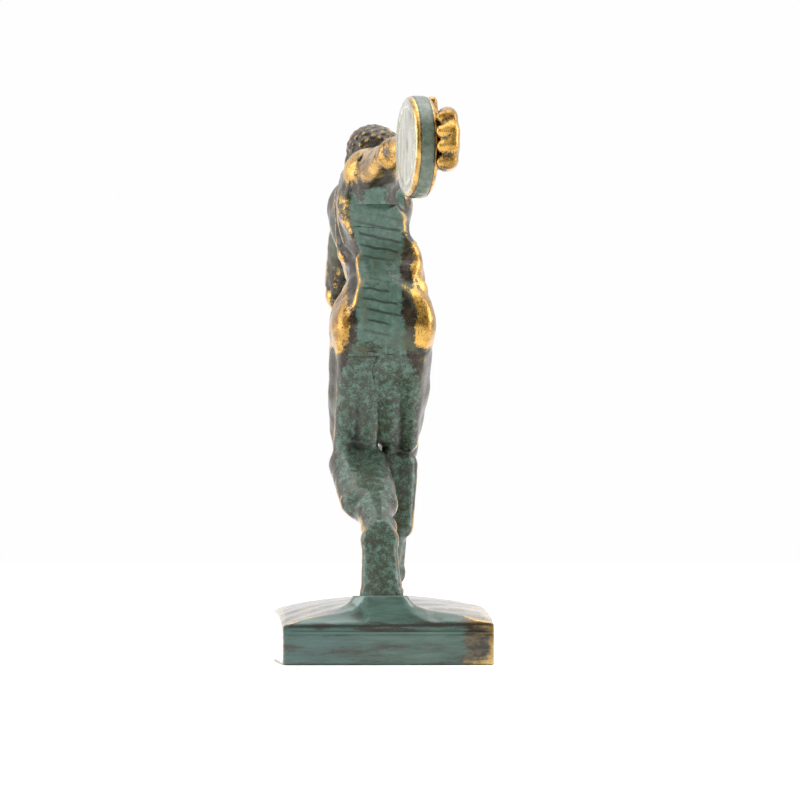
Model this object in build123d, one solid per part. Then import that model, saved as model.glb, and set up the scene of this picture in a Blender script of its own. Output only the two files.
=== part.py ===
"""Discus thrower statuette, piece-cast in bronze and pinned together on a domed plinth.

Millimetres. Origin at the centre of the plinth's underside; +Z up, the chest faces -Y,
the discus is carried toward -X.
"""
import os
from math import cos, pi, sin, sqrt

from build123d import *

os.makedirs("parts", exist_ok=True)

# ---------------------------------------------------------------- driving dimensions
PLINTH_LENGTH = 56.0          # along X, under both feet
PLINTH_WIDTH = 44.6           # along Y
PLINTH_CORNER = 1.6           # vertical edge radius
PLINTH_EDGE = 0.5             # softened bottom edge
DOME_CENTRE = (8.0, -1.0, -10.0)
DOME_AXES = (77.0, 48.7, 24.3)
NEAR_EDGE_HEIGHT = 8.2        # top of the flat end face under the discus
NEAR_EDGE_SLOPE = (-0.77, 0.0, 0.64)

DISCUS_CENTRE = (-40.5, -5.2, 108.1)
DISCUS_RADIUS = 10.7
DISCUS_THICKNESS = 5.2
DISCUS_RIM = 3.6              # thickness left at the rim
DISCUS_AXIS = (-0.160, 0.987, 0.0)

DOWEL_RADIUS = 1.0
DOWEL_LENGTH = 8.0
SHORT_DOWEL = 6.0
WAIST_DOWEL_RADIUS = 1.5
WAIST_DOWEL_LENGTH = 10.0
DISCUS_PIN_RADIUS = 0.75
DISCUS_PIN_LENGTH = 3.0

STUD_RADIUS = 1.25            # M2.5
STUD_CLEARANCE = 1.35
WASHER_RADIUS = 2.9
WASHER_THICKNESS = 0.5
NUT_FLATS = 5.0               # M2.5 nut, across flats
NUT_HEIGHT = 2.0
POCKET_RADIUS = 3.1
POCKET_DEPTH = 4.2
RIGHT_STUD = (9.4, -2.9)
LEFT_STUD = (-23.4, 1.3)
STUD_TOP = {RIGHT_STUD: 17.0, LEFT_STUD: 19.6}
STUD_BOTTOM = 0.9

# ---------------------------------------------------------------- skeleton
HIP_R = (-5.0, -4.6, 70.5)
KNEE_R = (12.5, -4.4, 46.5)
ANKLE_R = (4.5, -2.3, 19.5)
HIP_L = (1.0, 5.0, 70.5)
KNEE_L = (9.5, 5.4, 43.0)
ANKLE_L = (-17.0, 1.5, 29.5)
SHOULDER_R = (-3.0, 2.6, 103.9)
ELBOW_R = (-20.5, -1.4, 108.2)
WRIST_R = (-32.6, -7.6, 110.6)
SHOULDER_L = (22.0, 5.2, 97.6)
ELBOW_L = (30.4, 7.4, 79.6)
WRIST_L = (23.4, 1.6, 64.2)
HEAD_CENTRE = (13.0, 0.6, 108.3)
HEAD_FACES = (-0.78, -0.60, 0.0)
HEAD_UP = (-0.02, -0.30, 0.95)
HEAD_SCALE = 0.93

# joint planes: a point on the plane and the direction out of the trunk
WAIST_JOINT = ((3.2, 0.2, 88.6), (0.46, -0.06, 0.89))
NECK_JOINT = ((10.9, 2.6, 104.2), (0.38, -0.12, 0.92))
SHOULDER_R_JOINT = ((-4.4, 2.3, 104.0), (-0.95, -0.22, 0.22))
SHOULDER_L_JOINT = ((22.0, 5.2, 98.4), (0.62, 0.10, -0.78))
HIP_R_JOINT = ((-3.6, -4.6, 68.4), (0.50, 0.0, -0.87))
HIP_L_JOINT = ((1.8, 5.1, 67.8), (0.28, 0.0, -0.96))


# ---------------------------------------------------------------- helpers
def along(start, end, part):
    """Point a fraction `part` of the way from start to end."""
    return Vector(*start) + (Vector(*end) - Vector(*start)) * part


def ball(centre, radius):
    return Pos(*Vector(*centre)) * Sphere(radius)


def egg(centre, axes, normal=(0, 0, 1), wide=(1, 0, 0)):
    """Ellipsoid with half-axes (along wide, across, along normal)."""
    frame = Plane(origin=Vector(*centre), x_dir=Vector(*wide), z_dir=Vector(*normal))
    return frame.location * scale(Sphere(1.0), by=axes)


def ring(centre, normal, wide, half_width, half_depth):
    """Elliptical section used by the lofts: four arcs, the first starting on the wide side."""
    frame = Plane(origin=Vector(*centre), x_dir=Vector(*wide), z_dir=Vector(*normal))
    arcs = []
    for quarter in range(4):
        turns = [(quarter + step / 4) * pi / 2 for step in range(5)]
        points = [frame.from_local_coords(Vector(half_width * cos(t), half_depth * sin(t))) for t in turns]
        ends = [Vector(-half_width * sin(t), half_depth * cos(t)) for t in (turns[0], turns[-1])]
        tangents = [frame.from_local_coords(end) - frame.origin for end in ends]
        arcs.append(Edge.make_spline(points, tangents=tangents))
    return Face(Wire(arcs))


def limb(start, end, wide, stations):
    """Loft along a straight bone; stations are (fraction, half width, half depth, offset)."""
    direction = Vector(*end) - Vector(*start)
    rings = []
    for fraction, half_width, half_depth, offset in stations:
        centre = along(start, end, fraction) + Vector(*offset)
        rings.append(ring(centre, direction, wide, half_width, half_depth))
    return loft(rings)


def bone(start, end, radius_start, radius_end):
    """Rounded taper between two points."""
    a, b = Vector(*start), Vector(*end)
    frame = Plane(origin=(a + b) * 0.5, z_dir=b - a)
    length = (b - a).length
    if abs(radius_start - radius_end) < 0.01:
        shaft = Cylinder(radius_start, length)
    else:
        shaft = Cone(radius_start, radius_end, length)
    return frame.location * shaft + ball(start, radius_start) + ball(end, radius_end)


def digit(points, radii):
    """Finger or toe through a chain of points."""
    shape = bone(points[0], points[1], radii[0], radii[1])
    for i in range(1, len(points) - 1):
        shape += bone(points[i], points[i + 1], radii[i], radii[i + 1])
    return shape


def beyond(joint, reach=16.0, width=30.0):
    """Block on the far side of a joint plane."""
    point, outward = joint
    frame = Plane(origin=Vector(*point), z_dir=Vector(*outward))
    block = Box(width, width, reach, align=(Align.CENTER, Align.CENTER, Align.MIN))
    return frame.location * block


def before(joint, reach=16.0, width=30.0):
    """Block on the trunk side of a joint plane."""
    point, outward = joint
    frame = Plane(origin=Vector(*point), z_dir=Vector(*outward))
    block = Box(width, width, reach, align=(Align.CENTER, Align.CENTER, Align.MAX))
    return frame.location * block


def dowel(joint, radius, length):
    """Round pin centred on a joint plane."""
    point, outward = joint
    frame = Plane(origin=Vector(*point), z_dir=Vector(*outward))
    return frame.location * Cylinder(radius, length)


# ---------------------------------------------------------------- plinth
def make_plinth():
    slab = extrude(RectangleRounded(PLINTH_LENGTH, PLINTH_WIDTH, PLINTH_CORNER), 20.0)
    slab = slab & egg(DOME_CENTRE, DOME_AXES)
    slab = chamfer(slab.edges().group_by(Axis.Z)[0], PLINTH_EDGE)
    near_edge = Plane(origin=(-PLINTH_LENGTH / 2, 0, NEAR_EDGE_HEIGHT), z_dir=NEAR_EDGE_SLOPE)
    outside = Box(30.0, 60.0, 10.0, align=(Align.CENTER, Align.CENTER, Align.MIN))
    slab = slab - near_edge.location * outside
    for x, y in (RIGHT_STUD, LEFT_STUD):
        pocket = Cylinder(POCKET_RADIUS, POCKET_DEPTH, align=(Align.CENTER, Align.CENTER, Align.MIN))
        hole = Cylinder(STUD_CLEARANCE, 30.0, align=(Align.CENTER, Align.CENTER, Align.MIN))
        slab = slab - Pos(x, y, 0) * pocket - Pos(x, y, 0) * hole
    return slab


# ---------------------------------------------------------------- pelvis and chest
PELVIS_RINGS = (
    # centre, spine direction, side direction, half width, half depth
    ((-1.6, 0.6, 65.5), (-0.05, -0.05, 1.0), (-0.53, -0.85, 0.0), 7.6, 4.8),
    ((-2.2, 0.4, 69.5), (-0.05, -0.10, 1.0), (-0.53, -0.85, 0.0), 11.0, 6.8),
    ((-2.4, -0.1, 74.0), (0.05, -0.15, 1.0), (-0.55, -0.83, 0.0), 11.5, 7.3),
    ((-1.5, -1.2, 79.0), (0.25, -0.15, 1.0), (-0.62, -0.78, 0.05), 10.2, 6.8),
    ((0.9, -1.0, 84.0), (0.40, 0.00, 1.0), (-0.78, -0.62, 0.15), 9.1, 7.0),
)
WAIST_RING = (WAIST_JOINT[0], WAIST_JOINT[1], (-0.90, -0.42, 0.22), 10.0, 7.4)
CHEST_RINGS = (
    ((7.0, 1.5, 95.0), (0.42, 0.05, 0.93), (-0.96, -0.20, 0.24), 12.1, 7.8),
    ((9.0, 2.2, 99.4), (0.36, 0.0, 0.95), (-0.97, -0.06, 0.24), 12.4, 6.8),
    ((10.3, 2.7, 102.8), (0.38, 0.0, 1.0), (-0.97, -0.06, 0.24), 7.2, 5.0),
    ((11.3, 2.5, 105.6), (0.38, -0.12, 0.92), (-0.97, -0.06, 0.30), 4.0, 3.9),
)


def right_thigh():
    return limb(HIP_R, KNEE_R, (0, 1, 0), (
        (0.00, 6.3, 6.2, (0, 0, 0)),
        (0.22, 6.2, 6.4, (0, -0.1, 0)),
        (0.50, 5.4, 5.9, (0, -0.3, 0)),
        (0.78, 4.6, 4.8, (0, -0.2, 0)),
        (1.00, 3.9, 4.1, (0, 0, 0)),
    ))


def left_thigh():
    return limb(HIP_L, KNEE_L, (0, 1, 0), (
        (0.00, 5.7, 6.2, (0, 0, 0)),
        (0.22, 5.7, 6.3, (0, 0, 0)),
        (0.50, 5.4, 5.9, (0, 0, 0)),
        (0.78, 4.9, 5.0, (0, 0, 0)),
        (1.00, 4.5, 4.3, (0, 0, 0)),
    ))


def right_upper_arm():
    return limb(SHOULDER_R, ELBOW_R, (0, 0, 1), (
        (0.00, 5.9, 5.5, (0, 0, 0)),
        (0.25, 4.9, 4.6, (0, 0, 0.3)),
        (0.55, 3.9, 3.9, (0, 0, 0.2)),
        (1.00, 3.0, 3.0, (0, 0, 0)),
    ))


def left_upper_arm():
    return limb(SHOULDER_L, ELBOW_L, (0, 1, 0), (
        (0.00, 5.0, 4.9, (0, 0, 0)),
        (0.25, 4.6, 4.7, (0.4, 0, 0)),
        (0.60, 3.7, 3.8, (0.1, 0, 0)),
        (1.00, 3.0, 3.1, (0, 0, 0)),
    ))


def make_pelvis():
    pelvis = loft([ring(*station) for station in PELVIS_RINGS + (WAIST_RING,)])
    pelvis += egg((-7.6, -1.0, 71.6), (6.4, 6.0, 6.6), wide=(0.85, -0.53, 0))
    pelvis += egg((-2.2, 5.0, 71.4), (5.8, 5.4, 6.4), wide=(0.85, -0.53, 0))
    pelvis = pelvis - beyond(HIP_R_JOINT, 14, 22) - beyond(HIP_L_JOINT, 14, 22)
    pelvis += right_thigh() - beyond(HIP_R_JOINT, 40, 40)
    pelvis += left_thigh() - beyond(HIP_L_JOINT, 40, 40)
    return pelvis


def make_chest():
    chest = loft([ring(*station) for station in (WAIST_RING,) + CHEST_RINGS])
    chest += egg((2.6, -3.8, 96.2), (3.9, 6.3, 4.2), wide=(-0.1, 0.98, 0.05))
    chest += egg((13.8, -3.0, 95.4), (3.9, 6.0, 4.4), wide=(0.05, 0.98, 0.0))
    chest += egg((-1.4, 4.6, 99.0), (4.6, 4.6, 6.4), wide=(0.6, -0.8, 0.0))
    chest += egg((-2.4, 2.6, 103.4), (5.8, 5.4, 5.6))
    chest += egg((20.4, 5.0, 98.6), (5.3, 5.2, 5.1), wide=(-1, 0, 0))
    chest = chest - beyond(NECK_JOINT, 12, 16) - beyond(SHOULDER_R_JOINT, 10, 24)
    chest = chest - beyond(SHOULDER_L_JOINT, 10, 20)
    chest += right_upper_arm() - beyond(SHOULDER_R_JOINT, 40, 40)
    chest += left_upper_arm() - beyond(SHOULDER_L_JOINT, 40, 40)
    return chest


# ---------------------------------------------------------------- legs
LEFT_SHANK = (
    # fraction of the shin, half width, half depth, sag of the calf
    (0.00, 4.5, 4.2, 0.0),
    (0.16, 5.1, 4.5, 0.6),
    (0.38, 5.8, 5.0, 1.3),
    (0.70, 4.3, 3.8, 0.8),
    (0.94, 3.0, 2.9, 0.0),
)
LEFT_FOOT = (
    # centre, direction, half width, half depth
    ((-18.6, 1.4, 28.4), (-0.75, 0, -0.66), 3.2, 3.4),
    ((-20.6, 1.4, 26.0), (-0.48, 0, -0.88), 3.7, 3.6),
    ((-22.0, 1.4, 22.4), (-0.28, 0, -0.96), 3.8, 3.1),
    ((-23.4, 1.4, 18.2), (-0.25, 0, -0.97), 4.2, 2.9),
    ((-24.4, 1.3, 14.8), (-0.10, 0, -1.00), 4.4, 2.6),
    ((-24.6, 1.3, 12.6), (0, 0, -1), 4.3, 2.4),
    ((-24.6, 1.3, 8.0), (0, 0, -1), 4.2, 2.3),
)


def make_right_leg():
    thigh = right_thigh()
    shin = limb(KNEE_R, ANKLE_R, (0, 1, 0), (
        (0.00, 3.9, 4.0, (0, 0, 0)),
        (0.16, 3.9, 4.0, (-0.6, 0, 0)),
        (0.38, 4.3, 4.5, (-1.2, 0.3, 0)),
        (0.70, 3.0, 3.2, (-0.4, 0.1, 0)),
        (1.00, 2.3, 2.6, (0, 0, 0)),
    ))
    foot = loft([
        ring((-0.6, -2.1, 17.4), (1, 0, 0.1), (0, 1, 0), 1.6, 1.7),
        ring((1.4, -2.2, 17.2), (1, 0, 0.0), (0, 1, 0), 2.4, 2.9),
        ring((5.4, -2.4, 17.6), (1, 0, -0.1), (0, 1, 0), 2.5, 3.6),
        ring((9.6, -2.8, 16.6), (1, 0, -0.2), (0, 1, 0), 2.9, 2.8),
        ring((13.4, -3.2, 15.6), (1, 0, -0.2), (0, 1, 0), 3.4, 1.8),
        ring((16.4, -3.4, 15.0), (1, 0, -0.1), (0, 1, 0), 3.2, 1.3),
    ])
    leg = thigh + shin + ball(KNEE_R, 4.3) + ball(ANKLE_R, 2.6) + foot
    for i, reach in enumerate((18.8, 18.6, 18.2, 17.6, 16.9)):
        y = -0.9 - 1.35 * i
        leg += digit(((14.6, y, 15.1), (reach, y - 0.1, 14.9)), (0.95, 0.85 - 0.06 * i))
    return leg - before(HIP_R_JOINT, 16, 30)


def make_left_leg():
    shin_way = Vector(*ANKLE_L) - Vector(*KNEE_L)
    shank = []
    for fraction, half_width, half_depth, drop in LEFT_SHANK:
        centre = along(KNEE_L, ANKLE_L, fraction) + Vector(0, 0, drop)
        shank.append(ring(centre, shin_way, (0, 1, 0), half_width, half_depth))
    for centre, normal, half_width, half_depth in LEFT_FOOT:
        shank.append(ring(centre, normal, (0, 1, 0), half_width, half_depth))
    leg = left_thigh() + loft(shank) + ball(KNEE_L, 4.6)
    for i in range(5):
        y = -1.8 + 1.6 * i
        leg += digit(((-23.4, y, 14.2), (-20.9 + 0.3 * i, y, 12.9)), (1.1, 0.95 - 0.05 * i))
    return leg - before(HIP_L_JOINT, 16, 30)


# ---------------------------------------------------------------- arms
def make_right_arm(discus):
    upper = right_upper_arm()
    fore = limb(ELBOW_R, WRIST_R, (0, 0, 1), (
        (0.00, 3.0, 3.0, (0, 0, 0)),
        (0.30, 3.5, 3.2, (0, 0, 0)),
        (1.00, 2.2, 1.8, (0, 0, 0)),
    ))
    palm = loft([
        ring((-32.2, -7.6, 110.6), (-1, -0.35, -0.1), (0, 0, 1), 2.2, 1.8),
        ring((-36.0, -8.8, 109.6), (-1, -0.20, -0.2), (0, 0, 1), 4.2, 1.8),
        ring((-40.2, -9.5, 108.6), (-1, -0.15, -0.1), (0, 0, 1), 5.2, 1.6),
    ])
    arm = upper + fore + palm + ball(ELBOW_R, 3.1) + ball(WRIST_R, 2.1)
    for i in range(4):
        z = 113.8 - 3.1 * i
        rise = z - DISCUS_CENTRE[2]
        rim = DISCUS_CENTRE[0] - 0.987 * sqrt(DISCUS_RADIUS ** 2 - rise ** 2)
        knuckle = (-40.0, -9.6, 112.2 - 2.5 * i)
        arm += digit((knuckle, (rim + 5.0, -10.8, z + 0.1), (rim - 0.2, -11.1, z), (rim - 1.2, -9.0, z)),
                     (1.45, 1.35, 1.25, 1.05))
    arm += digit(((-35.2, -8.6, 111.8), (-35.8, -8.6, 115.0), (-37.4, -8.4, 117.6)), (1.5, 1.25, 1.0))
    arm = arm - before(SHOULDER_R_JOINT, 16, 30)
    return arm - discus


def make_left_arm(right_leg):
    upper = left_upper_arm()
    fore = limb(ELBOW_L, WRIST_L, (0, 1, 0), (
        (0.00, 3.0, 3.1, (0, 0, 0)),
        (0.28, 3.3, 3.5, (0, 0, 0)),
        (1.00, 1.9, 2.2, (0, 0, 0)),
    ))
    palm = loft([
        ring((23.6, 1.8, 64.6), (-0.5, -0.4, -0.8), (0.8, -0.2, -0.4), 2.1, 1.8),
        ring((21.4, -0.4, 60.6), (-0.5, -0.45, -0.75), (0.8, -0.2, -0.4), 3.2, 1.5),
        ring((19.6, -2.0, 57.4), (-0.5, -0.45, -0.75), (0.8, -0.2, -0.4), 3.5, 1.4),
    ])
    arm = upper + fore + palm + ball(ELBOW_L, 3.1) + ball(WRIST_L, 2.0)
    for i in range(4):
        side = Vector(0.8, -0.2, -0.4).normalized() * (2.4 - 1.6 * i)
        root = Vector(19.7, -1.9, 57.6) + side
        mid = Vector(18.2, -4.0, 54.6) + side
        tip = Vector(17.3, -5.6, 51.6 + 0.3 * abs(i - 1)) + side
        arm += digit((root, mid, tip), (1.15, 1.05, 0.85))
    arm += digit(((22.6, -1.6, 61.4), (20.2, -4.2, 59.2), (18.4, -5.6, 57.6)), (1.2, 1.1, 0.9))
    arm = arm - before(SHOULDER_L_JOINT, 10, 24)
    return arm - right_leg


# ---------------------------------------------------------------- head
def make_head():
    up = Vector(*HEAD_UP).normalized()
    facing = Vector(*HEAD_FACES).normalized()
    facing = (facing - up * facing.dot(up)).normalized()
    side = up.cross(facing)
    frame = Plane(origin=Vector(*HEAD_CENTRE), x_dir=side, z_dir=up)
    head = egg((0, 0.6, 1.2), (5.7, 6.9, 6.1))
    head += egg((0, -1.9, -3.1), (4.3, 4.6, 4.9))
    hair = egg((0, 1.3, 1.6), (6.5, 7.2, 6.6)) - Pos(0, -9.2, -3.4) * Box(20, 10, 14)
    head += hair
    head += loft([
        ring((0, -5.9, 1.1), (0, -0.35, -1), (1, 0, 0), 0.6, 0.7),
        ring((0, -6.7, -1.4), (0, -0.35, -1), (1, 0, 0), 1.2, 1.0),
    ])
    head += egg((0, -6.1, -4.0), (1.8, 0.9, 0.9)) + egg((0, -5.5, -6.3), (1.8, 1.4, 1.3))
    for s in (-1, 1):
        head += egg((s * 2.3, -5.2, 0.7), (1.15, 0.8, 0.7))
        head += egg((s * 5.6, 0.6, -1.0), (0.8, 1.5, 2.0))
    head = frame.location * scale(head, by=HEAD_SCALE)
    head += bone((12.6, 2.2, 106.4), (10.4, 2.8, 102.8), 4.0, 4.2)
    return head - before(NECK_JOINT, 16, 30)


# ---------------------------------------------------------------- discus
def make_discus():
    half, rim = DISCUS_THICKNESS / 2, DISCUS_RIM / 2
    outline = Polyline((0, -half), (DISCUS_RADIUS * 0.62, -half), (DISCUS_RADIUS - 0.5, -rim),
                       (DISCUS_RADIUS, -rim + 0.5), (DISCUS_RADIUS, rim - 0.5),
                       (DISCUS_RADIUS - 0.5, rim), (DISCUS_RADIUS * 0.62, half), (0, half),
                       (0, -half))
    profile = Plane.XZ * make_face(outline)
    plate = revolve(profile, Axis.Z)
    frame = Plane(origin=Vector(*DISCUS_CENTRE), z_dir=Vector(*DISCUS_AXIS))
    return frame.location * plate


# ---------------------------------------------------------------- foundry hardware
def make_stud(spot):
    length = STUD_TOP[spot] - STUD_BOTTOM
    body = Cylinder(STUD_RADIUS, length, align=(Align.CENTER, Align.CENTER, Align.MIN))
    return Pos(spot[0], spot[1], STUD_BOTTOM) * body


def make_washer(spot):
    disc = Cylinder(WASHER_RADIUS, WASHER_THICKNESS, align=(Align.CENTER, Align.CENTER, Align.MAX))
    disc = disc - Cylinder(STUD_CLEARANCE, 4.0)
    return Pos(spot[0], spot[1], POCKET_DEPTH) * disc


def make_nut(spot):
    hexagon = RegularPolygon(NUT_FLATS / 2, 6, major_radius=False)
    nut = extrude(hexagon, NUT_HEIGHT) - Cylinder(STUD_RADIUS, 10.0)
    return Pos(spot[0], spot[1], POCKET_DEPTH - WASHER_THICKNESS - NUT_HEIGHT) * nut


# ---------------------------------------------------------------- assembly
plinth = make_plinth()
discus = make_discus()
pelvis = make_pelvis()
chest = make_chest()
head = make_head()
right_leg = make_right_leg()
left_leg = make_left_leg()
right_arm = make_right_arm(discus)
left_arm = make_left_arm(right_leg)

# castings that meet away from their pinned joints are fitted to each other
head = head - chest
right_leg = right_leg - pelvis - plinth
left_leg = left_leg - pelvis - right_leg - plinth
right_arm = right_arm - chest - head
left_arm = left_arm - chest

pin_outward = -Vector(*DISCUS_AXIS)
pin_centre = Vector(*DISCUS_CENTRE) + pin_outward * (DISCUS_THICKNESS / 2)
neck_dowel = dowel(NECK_JOINT, DOWEL_RADIUS, SHORT_DOWEL)
waist_dowel = dowel(WAIST_JOINT, WAIST_DOWEL_RADIUS, WAIST_DOWEL_LENGTH)
shoulder_r_dowel = dowel(SHOULDER_R_JOINT, DOWEL_RADIUS, DOWEL_LENGTH)
shoulder_l_dowel = dowel(SHOULDER_L_JOINT, DOWEL_RADIUS, SHORT_DOWEL)
hip_r_dowel = dowel(HIP_R_JOINT, DOWEL_RADIUS, DOWEL_LENGTH)
hip_l_dowel = dowel(HIP_L_JOINT, DOWEL_RADIUS, DOWEL_LENGTH)
discus_pin = dowel((tuple(pin_centre), tuple(pin_outward)), DISCUS_PIN_RADIUS, DISCUS_PIN_LENGTH)
right_stud = make_stud(RIGHT_STUD)
left_stud = make_stud(LEFT_STUD)

pelvis = pelvis - waist_dowel - hip_r_dowel - hip_l_dowel
chest = chest - waist_dowel - neck_dowel - shoulder_r_dowel - shoulder_l_dowel
head = head - neck_dowel
right_arm = right_arm - shoulder_r_dowel - discus_pin
left_arm = left_arm - shoulder_l_dowel
right_leg = right_leg - hip_r_dowel - right_stud
left_leg = left_leg - hip_l_dowel - left_stud
discus = discus - discus_pin

NODES = {
    "base_plinth": plinth,
    "pelvis": pelvis,
    "chest": chest,
    "head": head,
    "right_arm": right_arm,
    "discus": discus,
    "left_arm": left_arm,
    "right_leg": right_leg,
    "left_leg": left_leg,
    "waist_dowel": waist_dowel,
    "neck_dowel": neck_dowel,
    "right_shoulder_dowel": shoulder_r_dowel,
    "left_shoulder_dowel": shoulder_l_dowel,
    "right_hip_dowel": hip_r_dowel,
    "left_hip_dowel": hip_l_dowel,
    "discus_pin": discus_pin,
    "right_foot_stud": right_stud,
    "left_foot_stud": left_stud,
    "right_foot_washer": make_washer(RIGHT_STUD),
    "left_foot_washer": make_washer(LEFT_STUD),
    "right_foot_nut": make_nut(RIGHT_STUD),
    "left_foot_nut": make_nut(LEFT_STUD),
}

for name, shape in NODES.items():
    solids = shape.solids()
    whole = max(solids, key=lambda piece: piece.volume)
    print(name, [round(piece.volume, 3) for piece in solids], whole.is_valid)
    export_step(whole, f"parts/{name}.step")
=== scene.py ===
import math
from functools import partialmethod

import bpy
import numpy as np
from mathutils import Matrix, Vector


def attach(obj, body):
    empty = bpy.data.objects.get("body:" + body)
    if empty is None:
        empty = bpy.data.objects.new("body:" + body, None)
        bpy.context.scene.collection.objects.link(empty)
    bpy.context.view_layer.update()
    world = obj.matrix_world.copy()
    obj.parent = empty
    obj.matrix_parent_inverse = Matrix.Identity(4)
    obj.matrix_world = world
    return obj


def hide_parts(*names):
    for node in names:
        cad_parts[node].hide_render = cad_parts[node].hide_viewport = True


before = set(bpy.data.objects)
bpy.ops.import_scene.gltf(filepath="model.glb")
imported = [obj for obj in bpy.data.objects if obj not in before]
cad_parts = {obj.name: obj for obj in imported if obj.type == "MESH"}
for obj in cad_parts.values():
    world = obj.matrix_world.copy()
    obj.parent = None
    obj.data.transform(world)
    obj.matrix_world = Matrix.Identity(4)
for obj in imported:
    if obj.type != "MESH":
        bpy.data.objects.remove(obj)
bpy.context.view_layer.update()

MM = 0.001
GAP = 0.015          # half the joint line between two castings
JOINT_REACH = 3.2    # how far from a limb its joint cut acts
FORM_CAP = 2.5       # distances beyond this do not colour the surface
OUTSIDE = 6.0        # field value far from any stroke
FINE = 1.0
RNG = np.random.default_rng(41)

# ---- sculpting in a distance field
# Every length below is in millimetres, in the row's frame. A form is a list of strokes; a stroke is
# (operation, softness, low corner, high corner, distance function).


def vec(p):
    return np.array(p, dtype=np.float64)


def unit(p):
    p = vec(p)
    return p / np.linalg.norm(p)


def axes_of(up, side):
    """Rows: side (made square to up), up x side, up."""
    up = unit(up)
    side = vec(side) - up * np.dot(vec(side), up)
    side = unit(side)
    return np.array([side, np.cross(up, side), up])


def rod(a, b, ra, rb, k=1.2, op="+", flat=None):
    """Rounded taper from a to b; flat=(direction, factor) squeezes it across that direction."""
    a, b = vec(a), vec(b)
    ab = b - a
    length2 = float(ab @ ab) + 1e-9
    reach = max(ra, rb)
    low, high = np.minimum(a, b) - reach, np.maximum(a, b) + reach
    squeeze = None if flat is None else (unit(flat[0]), flat[1])

    def distance(x, y, z):
        px, py, pz = x - a[0], y - a[1], z - a[2]
        t = np.clip((px * ab[0] + py * ab[1] + pz * ab[2]) / length2, 0, 1)
        qx, qy, qz = px - t * ab[0], py - t * ab[1], pz - t * ab[2]
        q2 = qx * qx + qy * qy + qz * qz
        r = ra + (rb - ra) * t
        if squeeze is None:
            return np.sqrt(q2) - r
        u, s = squeeze
        c2 = (qx * u[0] + qy * u[1] + qz * u[2]) ** 2
        k0 = np.sqrt(np.maximum(q2 - c2, 0) + c2 / s ** 2)
        k1 = np.sqrt(np.maximum(q2 - c2, 0) + c2 / s ** 4)
        return (k0 - r) * k0 / np.maximum(k1, 1e-6)

    return (op, k, low, high, distance)


def egg(c, r, k=1.2, op="+", axes=None):
    """Ellipsoid with half-axes r along the rows of axes."""
    c, r = vec(c), vec(r)
    m = np.eye(3) if axes is None else axes
    reach = np.sqrt(((m * r[:, None]) ** 2).sum(0))

    def distance(x, y, z):
        px, py, pz = x - c[0], y - c[1], z - c[2]
        k0 = 0
        k1 = 0
        for i in range(3):
            e = (px * m[i, 0] + py * m[i, 1] + pz * m[i, 2]) / r[i]
            k0 = k0 + e * e
            k1 = k1 + (e / r[i]) ** 2
        k0 = np.sqrt(k0)
        return k0 * (k0 - 1) / np.maximum(np.sqrt(k1), 1e-6)

    return (op, k, c - reach, c + reach, distance)


def chain(points, radii, k=0.6, first=None):
    """Finger or toe: rods end to end."""
    out = []
    for i in range(len(points) - 1):
        soft = first if (i == 0 and first is not None) else k
        out.append(rod(points[i], points[i + 1], radii[i], radii[i + 1], soft))
    return out


def furrow(points, r, k):
    """Soft groove along a polyline."""
    return [rod(points[i], points[i + 1], r, r, k, "-") for i in range(len(points) - 1)]


def shave(point, outward, k, low, high):
    """Flat filed away: keeps what is behind the plane, inside a box."""
    p, n = vec(point), unit(outward)

    def distance(x, y, z):
        return -((x - p[0]) * n[0] + (y - p[1]) * n[1] + (z - p[2]) * n[2])

    return ("-", k, vec(low), vec(high), distance)


def soft_min(a, b, k):
    blend = np.maximum(k - np.abs(a - b), 0) / k
    return np.minimum(a, b) - blend * blend * k * 0.25


def soft_max(a, b, k):
    return -soft_min(-a, -b, k)


class Field:
    """A distance field on a regular lattice, negative inside."""

    def __init__(self, low, high, h):
        self.h = h
        self.low = vec(low)
        self.n = np.ceil((vec(high) - self.low) / h).astype(int) + 1
        self.ax = [(self.low[i] + h * np.arange(self.n[i])).astype(np.float32) for i in range(3)]
        self.d = np.full(self.n, OUTSIDE, np.float32)

    def window(self, low, high):
        a = np.clip(np.floor((low - self.low) / self.h).astype(int), 0, self.n)
        b = np.clip(np.ceil((high - self.low) / self.h).astype(int) + 1, 0, self.n)
        if (b - a).min() <= 0:
            return None
        return tuple(slice(a[i], b[i]) for i in range(3))

    def grid(self, w):
        x, y, z = (self.ax[i][w[i]] for i in range(3))
        return x[:, None, None], y[None, :, None], z[None, None, :]

    def apply(self, strokes):
        for op, k, low, high, distance in strokes:
            w = self.window(low - k - 1.2, high + k + 1.2)
            if w is None:
                continue
            d = distance(*self.grid(w)).astype(np.float32)
            self.d[w] = soft_min(self.d[w], d, k) if op == "+" else soft_max(self.d[w], -d, k)
        return self

    def everywhere(self):
        return self.grid((slice(None),) * 3)


def nearest(strokes, p):
    """Plain distance from points to the added strokes of a form."""
    out = np.full(len(p), 1e9)
    for op, k, low, high, distance in strokes:
        if op == "+":
            out = np.minimum(out, distance(p[:, 0], p[:, 1], p[:, 2]))
    return out


def soften(f, n, passes=2):
    """Box blur along the three axes."""
    f = np.clip(f, -FORM_CAP, FORM_CAP).astype(np.float32)
    for _ in range(passes):
        for axis in range(3):
            pad = [(0, 0)] * 3
            pad[axis] = (n + 1, n)
            c = np.cumsum(np.pad(f, pad, mode="edge"), axis=axis, dtype=np.float64)
            hi = [slice(None)] * 3
            lo = [slice(None)] * 3
            hi[axis] = slice(2 * n + 1, None)
            lo[axis] = slice(0, -(2 * n + 1))
            f = ((c[tuple(hi)] - c[tuple(lo)]) / (2 * n + 1)).astype(np.float32)
    return f


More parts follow.
